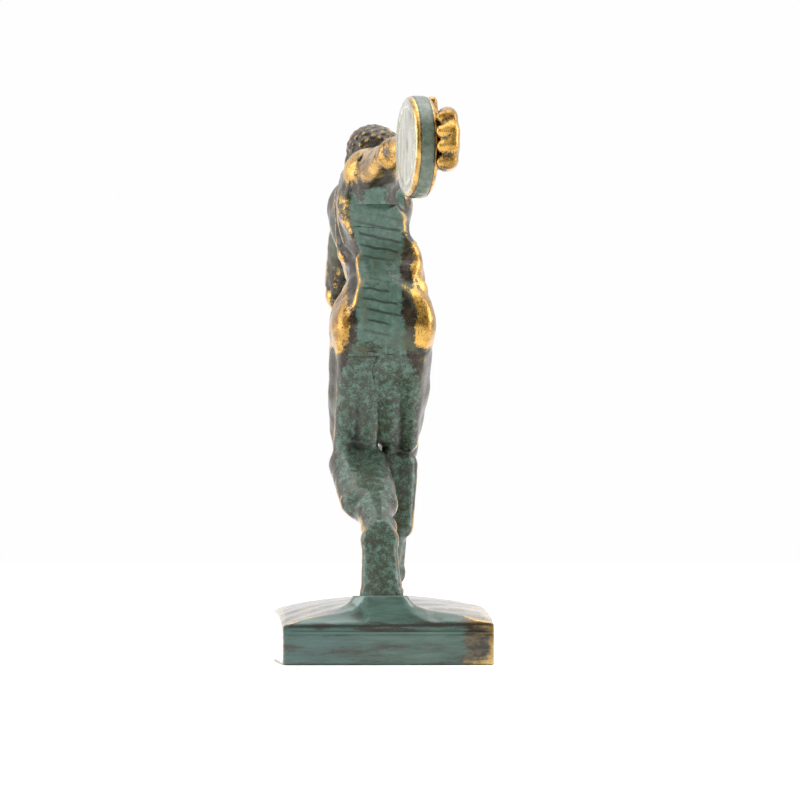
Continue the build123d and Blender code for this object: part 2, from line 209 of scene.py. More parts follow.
def sample(f, low, h, p):
    """Trilinear lookup."""
    g = (p - low) / h
    n = np.array(f.shape)
    i = np.clip(np.floor(g).astype(int), 0, n - 2)
    t = np.clip(g - i, 0, 1)
    out = 0
    for dx, dy, dz in np.ndindex(2, 2, 2):
        w = (t[:, 0] if dx else 1 - t[:, 0]) * (t[:, 1] if dy else 1 - t[:, 1])
        w = w * (t[:, 2] if dz else 1 - t[:, 2])
        out = out + w * f[i[:, 0] + dx, i[:, 1] + dy, i[:, 2] + dz]
    return out


def skin(field):
    """Surface nets: a vertex per crossed cell, a quad per crossed edge, then pulled on to the surface."""
    f, low, h = field.d, field.low, field.h
    s = f < 0
    nx, ny, nz = f.shape
    count = np.zeros((nx - 1, ny - 1, nz - 1), np.int8)
    for i, j, k in np.ndindex(2, 2, 2):
        count += s[i:nx - 1 + i, j:ny - 1 + j, k:nz - 1 + k]
    cells = np.argwhere((count > 0) & (count < 8))
    index = np.full(count.shape, -1, np.int64)
    index[cells[:, 0], cells[:, 1], cells[:, 2]] = np.arange(len(cells))
    total = np.zeros((len(cells), 3))
    hits = np.zeros(len(cells))
    for axis in range(3):
        step = np.zeros(3, int)
        step[axis] = 1
        u, v = [a for a in range(3) if a != axis]
        for du, dv in np.ndindex(2, 2):
            o = np.zeros(3, int)
            o[u], o[v] = du, dv
            a = cells + o
            b = a + step
            fa = f[a[:, 0], a[:, 1], a[:, 2]]
            fb = f[b[:, 0], b[:, 1], b[:, 2]]
            cross = (fa < 0) != (fb < 0)
            t = np.where(cross, fa / np.where(cross, fa - fb, 1), 0)
            total[cross] += (o + t[:, None] * step)[cross]
            hits[cross] += 1
    p = low + h * (cells + total / hits[:, None])
    quads = []
    for axis in range(3):
        u, v = [(1, 2), (2, 0), (0, 1)][axis]
        a = np.moveaxis(s, axis, 0)
        edge = np.argwhere(a[:-1] != a[1:])
        rest = [x for x in range(3) if x != axis]
        e = np.zeros((len(edge), 3), int)
        e[:, axis] = edge[:, 0]
        e[:, rest[0]], e[:, rest[1]] = edge[:, 1], edge[:, 2]
        ok = (e[:, u] > 0) & (e[:, v] > 0) & (e[:, u] < f.shape[u] - 1) & (e[:, v] < f.shape[v] - 1)
        e = e[ok]
        su, sv = np.zeros(3, int), np.zeros(3, int)
        su[u], sv[v] = 1, 1
        ring = [e - su - sv, e - sv, e, e - su]
        q = np.stack([index[c[:, 0], c[:, 1], c[:, 2]] for c in ring], 1)
        inside = s[e[:, 0], e[:, 1], e[:, 2]]
        q[~inside] = q[~inside][:, ::-1]
        quads.append(q)
    quads = np.concatenate(quads)
    for _ in range(3):
        d = sample(f, low, h, p)
        nudges = np.eye(3) * h * 0.5
        g = np.stack([sample(f, low, h, p + o) - sample(f, low, h, p - o) for o in nudges], 1) / h
        g2 = (g * g).sum(1)
        move = -(d / np.maximum(g2, 0.05))[:, None] * g
        p = p + np.clip(move, -0.4 * h, 0.4 * h)
    return p, quads


def clip(p, faces, g):
    """Keeps the part of a mesh where g <= 0, cutting faces along g = 0, and caps the cut."""
    out = g > 0
    state = out[faces].sum(1)
    whole = faces[state == 0]
    mixed = faces[(state > 0) & (state < faces.shape[1])]
    if len(mixed) == 0:
        return p, whole, []
    points = [tuple(q) for q in p]
    made = {}
    polys = []
    border = {}

    def cut(a, b):
        key = (min(a, b), max(a, b))
        if key not in made:
            t = g[a] / (g[a] - g[b])
            made[key] = len(points)
            points.append(tuple(p[a] + (p[b] - p[a]) * t))
        return made[key]

    for face in mixed:
        ring = []
        marks = []
        n = len(face)
        for i in range(n):
            a, b = int(face[i]), int(face[(i + 1) % n])
            if not out[a]:
                ring.append(a)
            if out[a] != out[b]:
                c = cut(a, b)
                ring.append(c)
                marks.append((c, out[b]))
        if len(ring) >= 3:
            polys.append(ring)
        if len(marks) == 2:
            leave = [c for c, gone in marks if gone][0]
            enter = [c for c, gone in marks if not gone][0]
            border[enter] = leave
    caps = []
    while border:
        start = next(iter(border))
        loop = [start]
        step = border.pop(start)
        while step != start and step in border:
            loop.append(step)
            step = border.pop(step)
        if len(loop) > 5:
            caps.append(loop)
    return np.array(points), whole, polys + caps


def cut_mesh(mesh, g_of):
    """Clips quads and loose polygons. Joints lie far apart, so an older cap only loses whole triangles."""
    p, quads, loose = mesh
    g = g_of(p)
    if loose:
        fans = np.array([(r[0], r[i], r[i + 1]) for r in loose for i in range(1, len(r) - 1)])
        gone = (g[fans] > 0).any(1)
        if gone.any():
            loose = fans[~gone].tolist()
    p, quads, polys = clip(p, quads, g)
    return p, quads, loose + polys


# ---- bones and joint planes
HIP_R, HIP_L = (-5.0, -4.6, 70.5), (1.0, 5.0, 70.5)
ELBOW_R, ELBOW_L = (-20.5, -1.4, 108.2), (30.4, 7.4, 79.6)
# joint planes: a point on the plane, and the way the outer piece lies
WAIST = ((3.2, 0.2, 88.6), (0.46, -0.06, 0.89))
NECK = ((10.9, 2.6, 102.9), (0.10, -0.38, 0.92))
ARM_R = ((-4.4, 2.3, 104.0), (-0.95, -0.22, 0.22))
ARM_L = ((22.0, 5.2, 98.4), (0.62, 0.10, -0.78))
LEG_R = ((-3.6, -4.6, 68.4), (0.50, 0.0, -0.87))
LEG_L = ((1.8, 5.1, 67.8), (0.28, 0.0, -0.96))
FOOT_L = ((-24.0, 1.3, 14.1), (0.0, 0.0, -1.0))

UP_C = unit((0.36, 0.0, 0.93))
AX_C = axes_of(UP_C, (-0.97, -0.06, 0.24))
AX_W = axes_of((0.38, 0.0, 0.92), (-0.78, -0.62, 0.1))
AX_P = axes_of((0.08, -0.08, 1.0), (-0.40, -0.91, 0.0))

# ---- trunk
chest = [
    egg((6, 1.3, 93.2), (11.4, 7.5, 12.5), 0.1, axes=AX_C),
    egg((9.3, 2.5, 99.8), (12.6, 6.5, 4.7), 3, axes=AX_C),
    egg((-2, 1.4, 95.5), (5.2, 6.4, 7.5), 2.5, axes=AX_C),
    egg((-0.9, 6.2, 98.6), (5.4, 3.6, 6), 1.6, axes=AX_C),
    egg((16.4, 6.8, 96.4), (5, 3.2, 5.6), 1.6, axes=AX_C),
    rod((9.4, 7.2, 100), (4, 6.4, 88.5), 2.8, 2.9, 1.6),
    rod((10.6, 6.8, 99.5), (6.6, 6, 88), 2.8, 2.6, 1.6),
    rod((10.8, 4.8, 103.4), (0.4, 4.4, 104), 3.4, 2.8, 2.2),
    rod((-4.6, 1.6, 96.5), (-7.4, 1.8, 102.6), 4.2, 3.4, 2.2),
    rod((11.2, 4.4, 104), (20.4, 5.8, 100.4), 3.6, 3, 2.2),
    rod((10.4, 2.8, 100.5), (11.6, 2.4, 106), 4.6, 3.9, 2),
    rod((18.6, 5.6, 94.6), (9.8, 3.4, 83.6), 4.3, 3.8, 2),
    egg((2, -3.3, 97.6), (6.6, 3.5, 4.5), 1, axes=AX_C),
    egg((14, -2.8, 96), (6.3, 3.4, 4.5), 1, axes=AX_C),
    rod((3, -2.6, 99.6), (-5.4, 1, 103.6), 3.2, 3.2, 1.8),
    rod((15, -1.6, 98), (20.6, 2.6, 98.6), 3.2, 3.2, 1.8),
    rod((8.6, 1, 102.4), (-2.2, 0.4, 104.8), 0.9, 0.9, 1.2),
    rod((11.6, 0.6, 102.6), (20.4, 3, 101.6), 1, 1, 1),
]
for i in range(3):
    z = 95.0 - 2.9 * i
    chest.append(rod((-4.6 + 0.9 * i, -3, z), (-1.4 + 1.1 * i, -5, z - 1.6), 1.2, 0.7, 2.2))
    chest.append(rod((17.0 - 1.5 * i, -2, z - 3.2), (13.8 - 1.0 * i, -4.2, z - 3.6), 1.2, 0.7, 2.4))
chest += furrow([(8.1, -7.4, 99.4), (7, -8, 95), (5.6, -7.8, 91.6)], 0.25, 1.1)
chest += furrow([(10.9, 8.8, 103), (8.6, 9.9, 97), (4.4, 9.3, 90.5), (-1.4, 6.6, 85)], 0.5, 2.4)
chest += furrow([(-4.6, -5.4, 94.2), (1, -7.6, 93.2), (6.6, -8.1, 92.4)], 0.1, 1.5)
chest += furrow([(7.8, -8, 91.9), (13.6, -6.8, 91.4), (18.6, -3.6, 92.2)], 0.1, 1.5)

pelvis = [
    egg((0.9, -1, 84), (9.2, 7, 9), 0.8, axes=AX_W),
    egg((-2.2, -0.3, 74.6), (11.3, 7.1, 8.6), 3, axes=AX_P),
    egg((-6.4, -5.2, 73), (5.6, 5.9, 6.6), 1.2, axes=AX_P),
    egg((-3.8, 5.1, 72.2), (5.5, 5.7, 6.6), 1.2, axes=AX_P),
    egg((3, -4.2, 80.5), (5.6, 3.8, 7.2), 1.8, axes=AX_P),
    rod((-3.6, -7.6, 80), (2.2, -7.2, 77), 2, 1.6, 1.5),
    rod((2.4, 6, 79.4), (5.4, 2.4, 77.4), 2, 1.6, 1.5),
    rod((-4.2, 3.4, 86), (-7.6, 2.8, 78), 2.4, 2.2, 1.6),
    rod((-5.2, 0.4, 86.5), (-8.2, -0.8, 78.5), 2.2, 2.2, 1.6),
    egg((-8.2, 0.3, 75.5), (3.6, 6, 8), 2),
    egg((3.6, -0.8, 69.6), (3.4, 3.2, 3), 2.6),
]
for i in range(3):
    z = 89.4 - 3.2 * i
    x = 5.4 - 0.9 * i
    pelvis.append(egg((x - 1.6, -5.9, z), (2.4, 1.5, 1.5), 1.7, axes=AX_W))
    pelvis.append(egg((x + 1.8, -4.9 + 0.2 * i, z - 0.2), (2.4, 1.5, 1.5), 1.7, axes=AX_W))
pelvis += furrow([(-11.4, -0.2, 72), (-9.4, -0.2, 66), (-3, 0.2, 63.6)], 0.5, 2)
pelvis += furrow([(5.6, -7.8, 90), (5.2, -7.8, 84.5), (5.4, -7.4, 79)], 0.1, 1.5)
pelvis += furrow([(-4.6, -11.8, 76), (1.4, -10.4, 73), (5.6, -6.2, 70.4)], 0.1, 2.6)

# ---- legs
leg_r = [
    rod(HIP_R, (4.2, -4.8, 58.5), 6.3, 5.5, 2.2),
    rod((4.2, -4.8, 58.5), (12.3, -4.4, 46.8), 5.5, 4, 1.5),
    rod((-1, -6.8, 66.5), (9.6, -6.6, 51.5), 3.5, 2.7, 1.3),
    rod((1, -3.6, 69.5), (12.6, -3.2, 52), 3.6, 2.8, 1.3),
    rod((3.2, -1.8, 62), (13.4, -1.9, 49.8), 2.6, 2.2, 1.2),
    rod((-5.4, -5.8, 65.5), (7.6, -6.4, 47.4), 3.4, 1.9, 1.2),
    rod((-5, -2.2, 65), (7.8, -2.4, 46.8), 3.5, 2, 1.2),
    egg((12.4, -4.4, 45.8), (3.9, 4, 4), 1.2),
    rod((-3.2, -0.4, 63), (6, -0.4, 49.5), 3.2, 2.4, 2.2),
    egg((15, -4.5, 47.4), (1.7, 2.4, 2.6), 0.9),
    rod((15.2, -4.4, 45.4), (13.8, -4.2, 41.6), 1.1, 1.2, 0.9),
    rod((12.2, -4.2, 44.6), (4.8, -3.1, 19.8), 3.3, 2.1, 1.2),
    rod((13.8, -3.9, 41.5), (6.8, -2.2, 21), 1.5, 0.9, 1.3),
    rod((9.2, -5.6, 42.5), (4.8, -5.1, 29), 2.8, 2.1, 1.2),
    rod((9, -2.2, 43), (4.8, -1.8, 30.5), 2.9, 1.9, 1.2),
    rod((4.8, -3.6, 29.5), (1.3, -2.4, 17.8), 1.8, 1, 1.4),
    egg((4.9, -4.5, 19.3), (1.3, 0.9, 1.4), 0.8),
    egg((5, -0.2, 20), (1.3, 0.9, 1.4), 0.8),
    egg((0.9, -2.2, 16.4), (2.7, 2.4, 2.5), 1.2),
    rod((4.2, -2.3, 18.6), (12.2, -2.5, 15.7), 2.5, 1.5, 1.4),
    rod((2.4, -2.3, 15.6), (13.6, -2.5, 15.3), 2.1, 1.9, 1.2, flat=((0, 0, 1), 0.7)),
    egg((13.6, -2.5, 15.3), (2.7, 2.9, 1.5), 1),
]
leg_r += furrow([(-6.4, -4, 60), (1, -4.4, 51), (5.8, -4.4, 45.5)], 0.3, 1.8)
for i in range(5):
    y = -0.6 - 1.12 * i
    tip = (18.9, 18.5, 18, 17.3, 16.5)[i]
    size = (1.05, 0.78, 0.74, 0.7, 0.66)[i]
    toe = [(14, y * 0.95 - 0.1, 15.4), (tip - 1.5, y, 15.2), (tip, y, 14.7)]
    leg_r += chain(toe, [size * 1.05, size * 0.95, size], 0.35, 0.7)
leg_r.append(shave((9, -3, 13.9), (0.04, 0, -1), 0.5, (-4, -9, 12), (22, 4, 17)))

leg_l = [
    rod(HIP_L, (5.5, 5.2, 57), 5.9, 5.5, 2.2),
    rod((5.5, 5.2, 57), (9.4, 5.4, 43.5), 5.5, 4.4, 1.5),
    rod((5.4, 4.4, 68), (12.2, 5, 49), 3.6, 2.9, 1.3),
    rod((2.6, 7.6, 66.5), (9, 7.9, 50), 3.2, 2.7, 1.3),
    rod((-3.2, 6.2, 66), (4.6, 7.6, 47), 3.4, 2.4, 1.2),
    rod((-2.8, 2.6, 65), (4.6, 3, 46.6), 3.4, 2.4, 1.2),
    egg((10, 5.4, 42.4), (4.3, 4.5, 4.3), 1.2),
    egg((13.6, 5.4, 42), (1.6, 2.6, 2.7), 0.9),
    rod((8.6, 5.2, 41.8), (-16.6, 1.6, 29.6), 3.8, 2.3, 1.4),
    rod((11, 5.2, 39.2), (-15, 1.6, 27.8), 1.7, 1.1, 1.4),
    rod((4, 6.9, 42.6), (-9.5, 6, 34.4), 4.2, 3.3, 1.6),
    rod((3.6, 2.2, 42.2), (-9.5, 0.2, 33.8), 4, 3.2, 1.6),
    rod((-5, 3.4, 36.4), (-17, 1.8, 29.8), 4.8, 3, 2.2),
    rod((-12, 1.8, 34), (-21.4, 1.4, 28.8), 2, 1.5, 1.6),
    egg((-17.4, 4.2, 28.6), (1.3, 0.9, 1.4), 0.9),
    egg((-17.4, -1.3, 29.2), (1.3, 0.9, 1.4), 0.9),
    egg((-20.9, 1.5, 26.6), (3.2, 3.9, 3.6), 1.6),
    rod((-18, 1.5, 28.4), (-22.4, 1.4, 17), 3, 2.3, 1.6),
    rod((-21.6, 1.6, 25.4), (-24.2, 1.4, 15.4), 3.7, 4.3, 1.2, flat=((0.97, 0, -0.24), 0.62)),
    egg((-24.4, 1.3, 14.8), (2.5, 4.4, 2.6), 1),
    shave((-25.6, 1.4, 18), (-0.965, 0, 0.262), 0.35, (-30, -6, 12), (-20, 8, 31)),
]
for i in range(5):
    y = -1.7 + 1.55 * i
    size = (1.15, 0.9, 0.86, 0.82, 0.78)[i]
    leg_l += chain([(-23.6, y, 14.6), (-21.8, y * 1.02, 13.2), (-20.4 - 0.25 * i, y * 1.04, 12.7)],
                   [size * 1.1, size * 0.95, size * 0.9], 0.35, 0.8)

# ---- arms
DISC_C, DISC_AXIS, DISC_R = (-40.5, -5.2, 108.1), (-0.160, 0.987, 0), 10.7
AX_R = axes_of((0, 0, 1), (-0.97, -0.23, 0))
arm_r = [
    egg((-3.8, 2.7, 104.5), (6.6, 5.7, 5.5), 1.6, axes=AX_R),
    rod((-4.6, 2.2, 105.2), (-12, 0.4, 106.8), 4.8, 3.2, 1.2),
    rod((-7, 1.4, 105.2), (-19, -1, 108), 4, 2.9, 1.2),
    rod((-8.6, -0.6, 105.1), (-17.6, -2.3, 107.6), 2.9, 2.3, 0.9),
    rod((-8.6, 3, 103.8), (-18, 0.9, 106.6), 2.9, 2.1, 0.9),
    egg((-20.6, -1.2, 107.8), (2.9, 2.9, 3), 1),
    egg((-20.9, 1, 107), (1.3, 1.1, 1.2), 0.8),
    rod(ELBOW_R, (-32.2, -7.4, 110.5), 3, 1.7, 1),
    rod((-20.4, -2.6, 109.2), (-28, -5.9, 110.6), 2.4, 1.9, 0.9),
    rod((-20.8, -1, 106.8), (-28.4, -4.9, 109), 2.4, 1.7, 0.9),
    rod((-31, -6.9, 110.4), (-34.4, -8.4, 110.1), 1.8, 2.1, 0.9, flat=((0.3, -1, 0), 0.8)),
    rod((-33.4, -8.4, 110.2), (-41, -9.9, 109), 3.1, 5.2, 1.1, flat=((0.16, -0.987, 0), 0.36)),
    rod((-34, -8.3, 111.6), (-36.4, -8.8, 114.2), 1.5, 1.3, 1),
]
arm_r += furrow([(-9, 4.6, 107.6), (-6.6, 6.6, 103), (-5.4, 6.4, 100.4)], 0.15, 1)
for i in range(4):
    z = 113.9 - 3.1 * i
    rise = z - DISC_C[2]
    rim = DISC_C[0] - 0.987 * math.sqrt(DISC_R ** 2 - rise ** 2)
    knuckle = (-40.2, -10.1, 112.6 - 2.5 * i)
    size = (1.55, 1.72, 1.68, 1.5)[i]
    finger = [knuckle, (-44.6, -11, z + 0.2), (rim + 2.8, -11.3, z),
              (rim - 0.2, -11.1, z - 0.1), (rim - 0.5, -9.6, z - 0.2)]
    arm_r += chain(finger, [size * t for t in (1.08, 1.04, 0.98, 0.9, 0.7)], 1.2, 1.4)
PALM_AXES = axes_of((0, 0, 1), (-0.987, -0.16, 0))
arm_r.append(egg((-46.2, -11.2, 109.3), (6.2, 1.75, 6.3), 1.6, axes=PALM_AXES))
thumb = [(-35.4, -8.6, 112.2), (-36, -8.7, 115.2), (-37.6, -8.5, 117.8)]
arm_r += chain(thumb, [1.5, 1.3, 1.05], 0.5, 1)

arm_l = [
    egg((21.4, 5.2, 98.8), (5.4, 5.4, 6.2), 1.6, axes=axes_of((-0.42, -0.1, 0.9), (1, 0, 0.4))),
    rod((22.4, 5.2, 97.4), (25.6, 6, 90.4), 4.9, 3.3, 1.2),
    rod((23.4, 5.6, 95), (30, 7.3, 80.6), 3.9, 2.8, 1.2),
    rod((24.6, 4.2, 92.6), (28.8, 5.6, 83), 2.9, 2.2, 0.9),
    rod((26, 7.4, 92), (30.6, 8.6, 82.6), 2.8, 2.1, 0.9),
    egg((30.4, 7.4, 79.8), (2.8, 2.8, 3), 1),
    egg((31.8, 8.6, 79.4), (1.2, 1.1, 1.3), 0.8),
    rod(ELBOW_L, (23.6, 1.8, 64.6), 2.9, 1.7, 1),
    rod((31.2, 6.6, 78.4), (27.4, 3.4, 70), 2.3, 1.8, 0.9),
    rod((28.8, 6.6, 78.4), (25.4, 4.4, 70.4), 2.3, 1.6, 0.9),
    rod((24, 2.2, 65.6), (22.6, 0.8, 62.6), 1.8, 2, 0.9, flat=((0.4, -0.8, 0.2), 0.8)),
    rod((22.6, 0.6, 62.4), (20, -1.7, 58), 2.6, 3.4, 1, flat=((0.45, -0.75, 0.2), 0.42)),
]
for i in range(4):
    side = unit((0.8, 0.35, -0.45)) * (2.35 - 1.55 * i)
    size = (0.95, 1.1, 1.15, 1.05)[i]
    root = vec((19.8, -1.9, 57.6)) + side
    tip = root + (-3.9, -2, -7.1 + 0.35 * abs(i - 1.4))
    finger = [root, root + (-1.5, -1.7, -3), root + (-2.6, -2.3, -5.2), tip]
    arm_l += chain(finger, [size * 1.12, size, size * 0.92, size * 0.78], 0.35, 0.9)
arm_l += chain([(22, -0.4, 61.4), (19.6, -3.2, 59.6), (17.6, -4.6, 57.4)], [1.4, 1.15, 0.95], 0.5, 1)

# ---- head: x left, y back, z up
UP_H = unit((-0.02, -0.30, 0.95))
FACE = vec((-0.78, -0.60, 0))
FACE = unit(FACE - UP_H * (FACE @ UP_H))
LEFT_H = np.cross(UP_H, FACE)
C_H = vec((13, 0.5, 108.8))
S_H = 0.93
AX_H = np.array([LEFT_H, -FACE, UP_H])


def hp(x, y, z):
    return C_H + S_H * (x * AX_H[0] + y * AX_H[1] + z * AX_H[2])


def hegg(c, r, k=0.6, op="+"):
    return egg(hp(*c), S_H * vec(r), k, op, axes=AX_H)


def hrod(a, b, ra, rb, k=0.5, op="+"):
    return rod(hp(*a), hp(*b), S_H * ra, S_H * rb, k, op)


head = [
    hegg((0, 0.9, 1.5), (5.4, 6.6, 5.8), 0.1),
    hegg((0, -1.9, -2.6), (4.2, 4.2, 5.2), 1.6),
    hegg((0, -3.7, -5.7), (2.5, 2.1, 1.9), 1.4),
    hegg((0, -5.2, -6.4), (1.35, 1.1, 1.1), 0.9),
    rod(hp(0, 1.8, -4), (10.3, 3, 101.2), 3.6, 4.4, 1.6),
    hegg((0, -3.3, -0.6), (3.7, 2.9, 3.6), 1.5),
    hegg((0, -4.9, -4.5), (1.9, 1.3, 1.5), 0.9),
]
for s in (-1, 1):
    head += [
        hrod((s * 3.9, 0, -3.6), (s * 1.4, -4.2, -6.2), 1.2, 1, 1.3),
        hegg((s * 2.9, -4, -1.9), (1.6, 1.3, 1.4), 1.4),
        hegg((s * 2, -6.45, -0.1), (1.4, 1.15, 0.8), 0.7, "-"),
        hrod((s * 0.8, -5.5, 1.1), (s * 2.2, -5.2, 1.4), 0.4, 0.4, 1),
        hrod((s * 2.2, -5.2, 1.4), (s * 3.7, -3.85, 0.8), 0.4, 0.34, 1),
        hegg((s * 2, -4.6, -0.15), (1.1, 0.85, 0.78), 0.15),
        hrod((s * 1, -5.2, -0.05), (s * 2, -5.5, 0.4), 0.17, 0.2, 0.14),
        hrod((s * 2, -5.5, 0.4), (s * 3, -4.8, -0.1), 0.2, 0.17, 0.14),
        hrod((s * 1.05, -5.2, -0.25), (s * 2, -5.35, -0.74), 0.14, 0.16, 0.14),
        hrod((s * 2, -5.35, -0.74), (s * 2.95, -4.8, -0.3), 0.16, 0.14, 0.14),
        hegg((s * 0.72, -6.2, -2.65), (0.46, 0.6, 0.42), 0.4),
        hegg((s * 5.25, 0.5, -1), (0.75, 1.35, 1.95), 0.35),
        hegg((s * 5.9, 0.2, -0.7), (0.4, 0.75, 1.15), 0.3, "-"),
        hegg((s * 5.4, -0.2, -2.6), (0.5, 0.5, 0.6), 0.3),
    ]
head += [
    hrod((0, -5.6, 0.8), (0, -6.2, -0.8), 0.5, 0.48, 1),
    hrod((0, -6.2, -0.8), (0, -6.8, -2.1), 0.48, 0.56, 0.8),
    hegg((0, -6.8, -2.35), (0.66, 0.6, 0.54), 0.5),
    hrod((-1.25, -5.8, -4.3), (0, -6.25, -4.05), 0.26, 0.34, 0.35),
    hrod((1.25, -5.8, -4.3), (0, -6.25, -4.05), 0.26, 0.34, 0.35),
    hegg((0, -6, -4.95), (0.95, 0.5, 0.42), 0.35),
    hrod((-1.4, -6, -4.5), (0, -6.6, -4.5), 0.07, 0.1, 0.16, "-"),
    hrod((1.4, -6, -4.5), (0, -6.6, -4.5), 0.07, 0.1, 0.16, "-"),
    hegg((0, -6.4, -5.7), (0.9, 0.5, 0.32), 0.4, "-"),
]
# short hair in rows of small locks round the crown
head.append(hegg((0, 1.4, 1.9), (5.85, 6.85, 5.75), 0.3))
head.append(hegg((0, 4.2, -1.8), (4.6, 3.7, 4.2), 0.8))
LOCK_ROWS = 9
LOCK_PITCH = 1.75


def on_cap(polar, turn, lift):
    rx, ry, rz = 5.50 + lift, 6.50 + lift, 5.42 + lift
    across = math.sin(polar)
    return rx * across * math.sin(turn), 1.4 - ry * across * math.cos(turn), 1.9 + rz * math.cos(polar)


def bald(x, y, z):
    """Forehead, ears and nape carry no locks."""
    return (y < -2.2 and z < 3.9) or (abs(x) > 3.2 and -2.6 < y < 1.9 and z < 1.4) or z < -4.4


for row in range(LOCK_ROWS):
    polar = math.radians(9 + 15.5 * row)
    n = max(5, int(round(2 * math.pi * math.sin(polar) * 6.3 / LOCK_PITCH)))
    swirl = 0.20 / max(math.sin(polar), 0.35)
    for j in range(n):
        turn = 2 * math.pi * (j + 0.5 * (row % 2)) / n + RNG.normal(0, 0.05)
        start = on_cap(polar - 0.03, turn - swirl * 0.7, 0)
        middle = on_cap(polar + 0.11, turn + swirl * 0.7, 0.05)
        end = on_cap(polar + 0.31, turn - swirl * 0.1, 0)
        if bald(*middle):
            continue
        size = 0.60 + RNG.uniform(-0.05, 0.06)
        head.append(hrod(start, middle, size * 0.95, size, 0.45))
        head.append(hrod(middle, end, size, size * 0.85, 0.45))

# ---- plinth
DOME_C, DOME_R = (8.0, -1.0, -10.0), (77.0, 48.7, 24.3)
HALF_X, HALF_Y = 28.0, 22.3
CORNER, WORN_EDGE = 0.9, 0.7
STUDS = ((9.4, -2.9), (-23.4, 1.3))
POCKET_R, POCKET_TOP, STUD_R = 3.1, 4.2, 1.3
BOSS_TOP = 14.6


def dome(x, y):
    out = ((x - DOME_C[0]) / DOME_R[0]) ** 2 + ((y - DOME_C[1]) / DOME_R[1]) ** 2
    return DOME_C[2] + DOME_R[2] * np.sqrt(np.maximum(1 - out, 0))


def plinth_distance(x, y, z):
    qx, qy = np.abs(x) - (HALF_X - CORNER), np.abs(y) - (HALF_Y - CORNER)
    side = np.sqrt(np.maximum(qx, 0) ** 2 + np.maximum(qy, 0) ** 2)
    side = side + np.minimum(np.maximum(qx, qy), 0) - CORNER
    wave = 0.10 * np.sin(x * 0.31 + 1.0) * np.sin(y * 0.27) + 0.06 * np.sin(x * 0.83 + y * 0.55)
    top = (z - dome(x, y) - wave) * 0.95
    ledge = 8.45 - 0.012 * y + 0.08 * np.sin(0.9 * y)
    rise = np.clip(x + HALF_X, 0, 6)
    roll = z - ledge - 0.9 * rise - 0.16 * rise ** 2
    top = np.maximum(top, roll * 0.7)
    return soft_max(soft_max(side, top, WORN_EDGE), -z, WORN_EDGE)


plinth = [("+", 0.1, vec((-HALF_X, -HALF_Y, 0)), vec((HALF_X, HALF_Y, 15)), plinth_distance)]
boss = [
    rod((-24.6, 1.3, 9.0), (-24.5, 1.3, 15.4), 4.5, 4.3, 2.4, flat=((1, 0, 0), 0.62)),
    rod((-25.4, -2.4, 7.2), (-25.2, 0.2, 13.2), 5.0, 3.8, 3.4, flat=((1, 0, 0), 0.5)),
    rod((-22.4, 6.6, 9.0), (-22.6, 4.6, 16.2), 3.2, 1.1, 3.4, flat=((1, 0, 0), 0.6)),
    shave((-27.6, 0, 10), (-1, 0, 0.04), 0.3, (-34, -24, 8.6), (-26, 24, 18)),
    shave((-28.02, 0, 10), (-1, 0, 0.0), 0.2, (-34, -24, 0), (-26, 24, 18)),
]


def drill(x0, y0):
    """Nut pocket and stud hole, up from the underside."""
    def distance(x, y, z):
        r = np.sqrt((x - x0) ** 2 + (y - y0) ** 2)
        return np.minimum(np.maximum(r - POCKET_R, z - POCKET_TOP), r - STUD_R)
    reach = POCKET_R + 0.1
    return ("-", 0.1, vec((x0 - reach, y0 - reach, -1)), vec((x0 + reach, y0 + reach, 22)), distance)


# ---- turning forms into separate castings
def box_of(strokes, pad=1.2):
    low = np.min([s[2] for s in strokes if s[0] == "+"], axis=0) - pad
    high = np.max([s[3] for s in strokes if s[0] == "+"], axis=0) + pad
    return low, high


def side_of(joint, p):
    return (p - vec(joint[0])) @ unit(joint[1])


FILE_EDGE = 1.3
LEG_BLEND = 3.5
EDGE_Z = (49, 53, 58, 64, 69, 75, 80, 86, 92, 99, 103.5)
EDGE_DEPTH = (-9.0, -2.0, 0.2, 0.8, 1.3, 1.8, 2.0, 2.3, 2.6, 2.2, 0.4)


def rear_edge(forms, low, high):
    """How far toward -X the unfiled form reaches, height by height."""
    field = Field(low, high, 0.5)
    for form in forms:
        field.apply(form)
    zs = field.ax[2]
    edge = np.full(len(zs), np.nan)
    for k in range(len(zs)):
        hit = np.argwhere((field.d[:, :, k] < 0).any(1))
        if len(hit):
            edge[k] = field.ax[0][hit[0, 0]]
    ok = ~np.isnan(edge)
    edge = np.interp(zs, zs[ok], edge[ok])
    n = 5
    return zs, np.convolve(np.pad(edge, n, mode="edge"), np.ones(2 * n + 1) / (2 * n + 1), mode="valid")


EDGE_BODY = rear_edge((pelvis, chest, leg_r[:13]), (-16, -14, 40), (28, 14, 106))
EDGE_LEFT = rear_edge((leg_l[:8],), (-14, -4, 40), (18, 14, 80))


def file_flat(field, edge, fade):
    """The parting flash was filed off flat down the rear edge."""
    x = field.everywhere()[0]
    zs = field.ax[2]
    depth = np.interp(zs, EDGE_Z, EDGE_DEPTH) - fade
    cut = (np.interp(zs, *edge) + depth)[None, None, :] - x
    cut = np.where((depth > -8.0)[None, None, :], cut, -9.0).astype(np.float32)
    field.d = soft_max(field.d, cut, FILE_EDGE)


def figure_field(low, high, h, ends=()):
    """Trunk and thighs as one worked surface; ends are the arms and head where they join."""
    field = Field(low, high, h * FINE)
    for form in (pelvis, chest, leg_r):
        field.apply(form)
    file_flat(field, EDGE_BODY, 0.0)
    left = Field(low, high, h * FINE)
    left.apply(leg_l)
    file_flat(left, EDGE_LEFT, 1.0)
    field.d = soft_min(field.d, left.d, LEG_BLEND)
    for form in ends:
        field.apply(form)
    field.d += hand_made(field.everywhere(), 0.06)
    return field


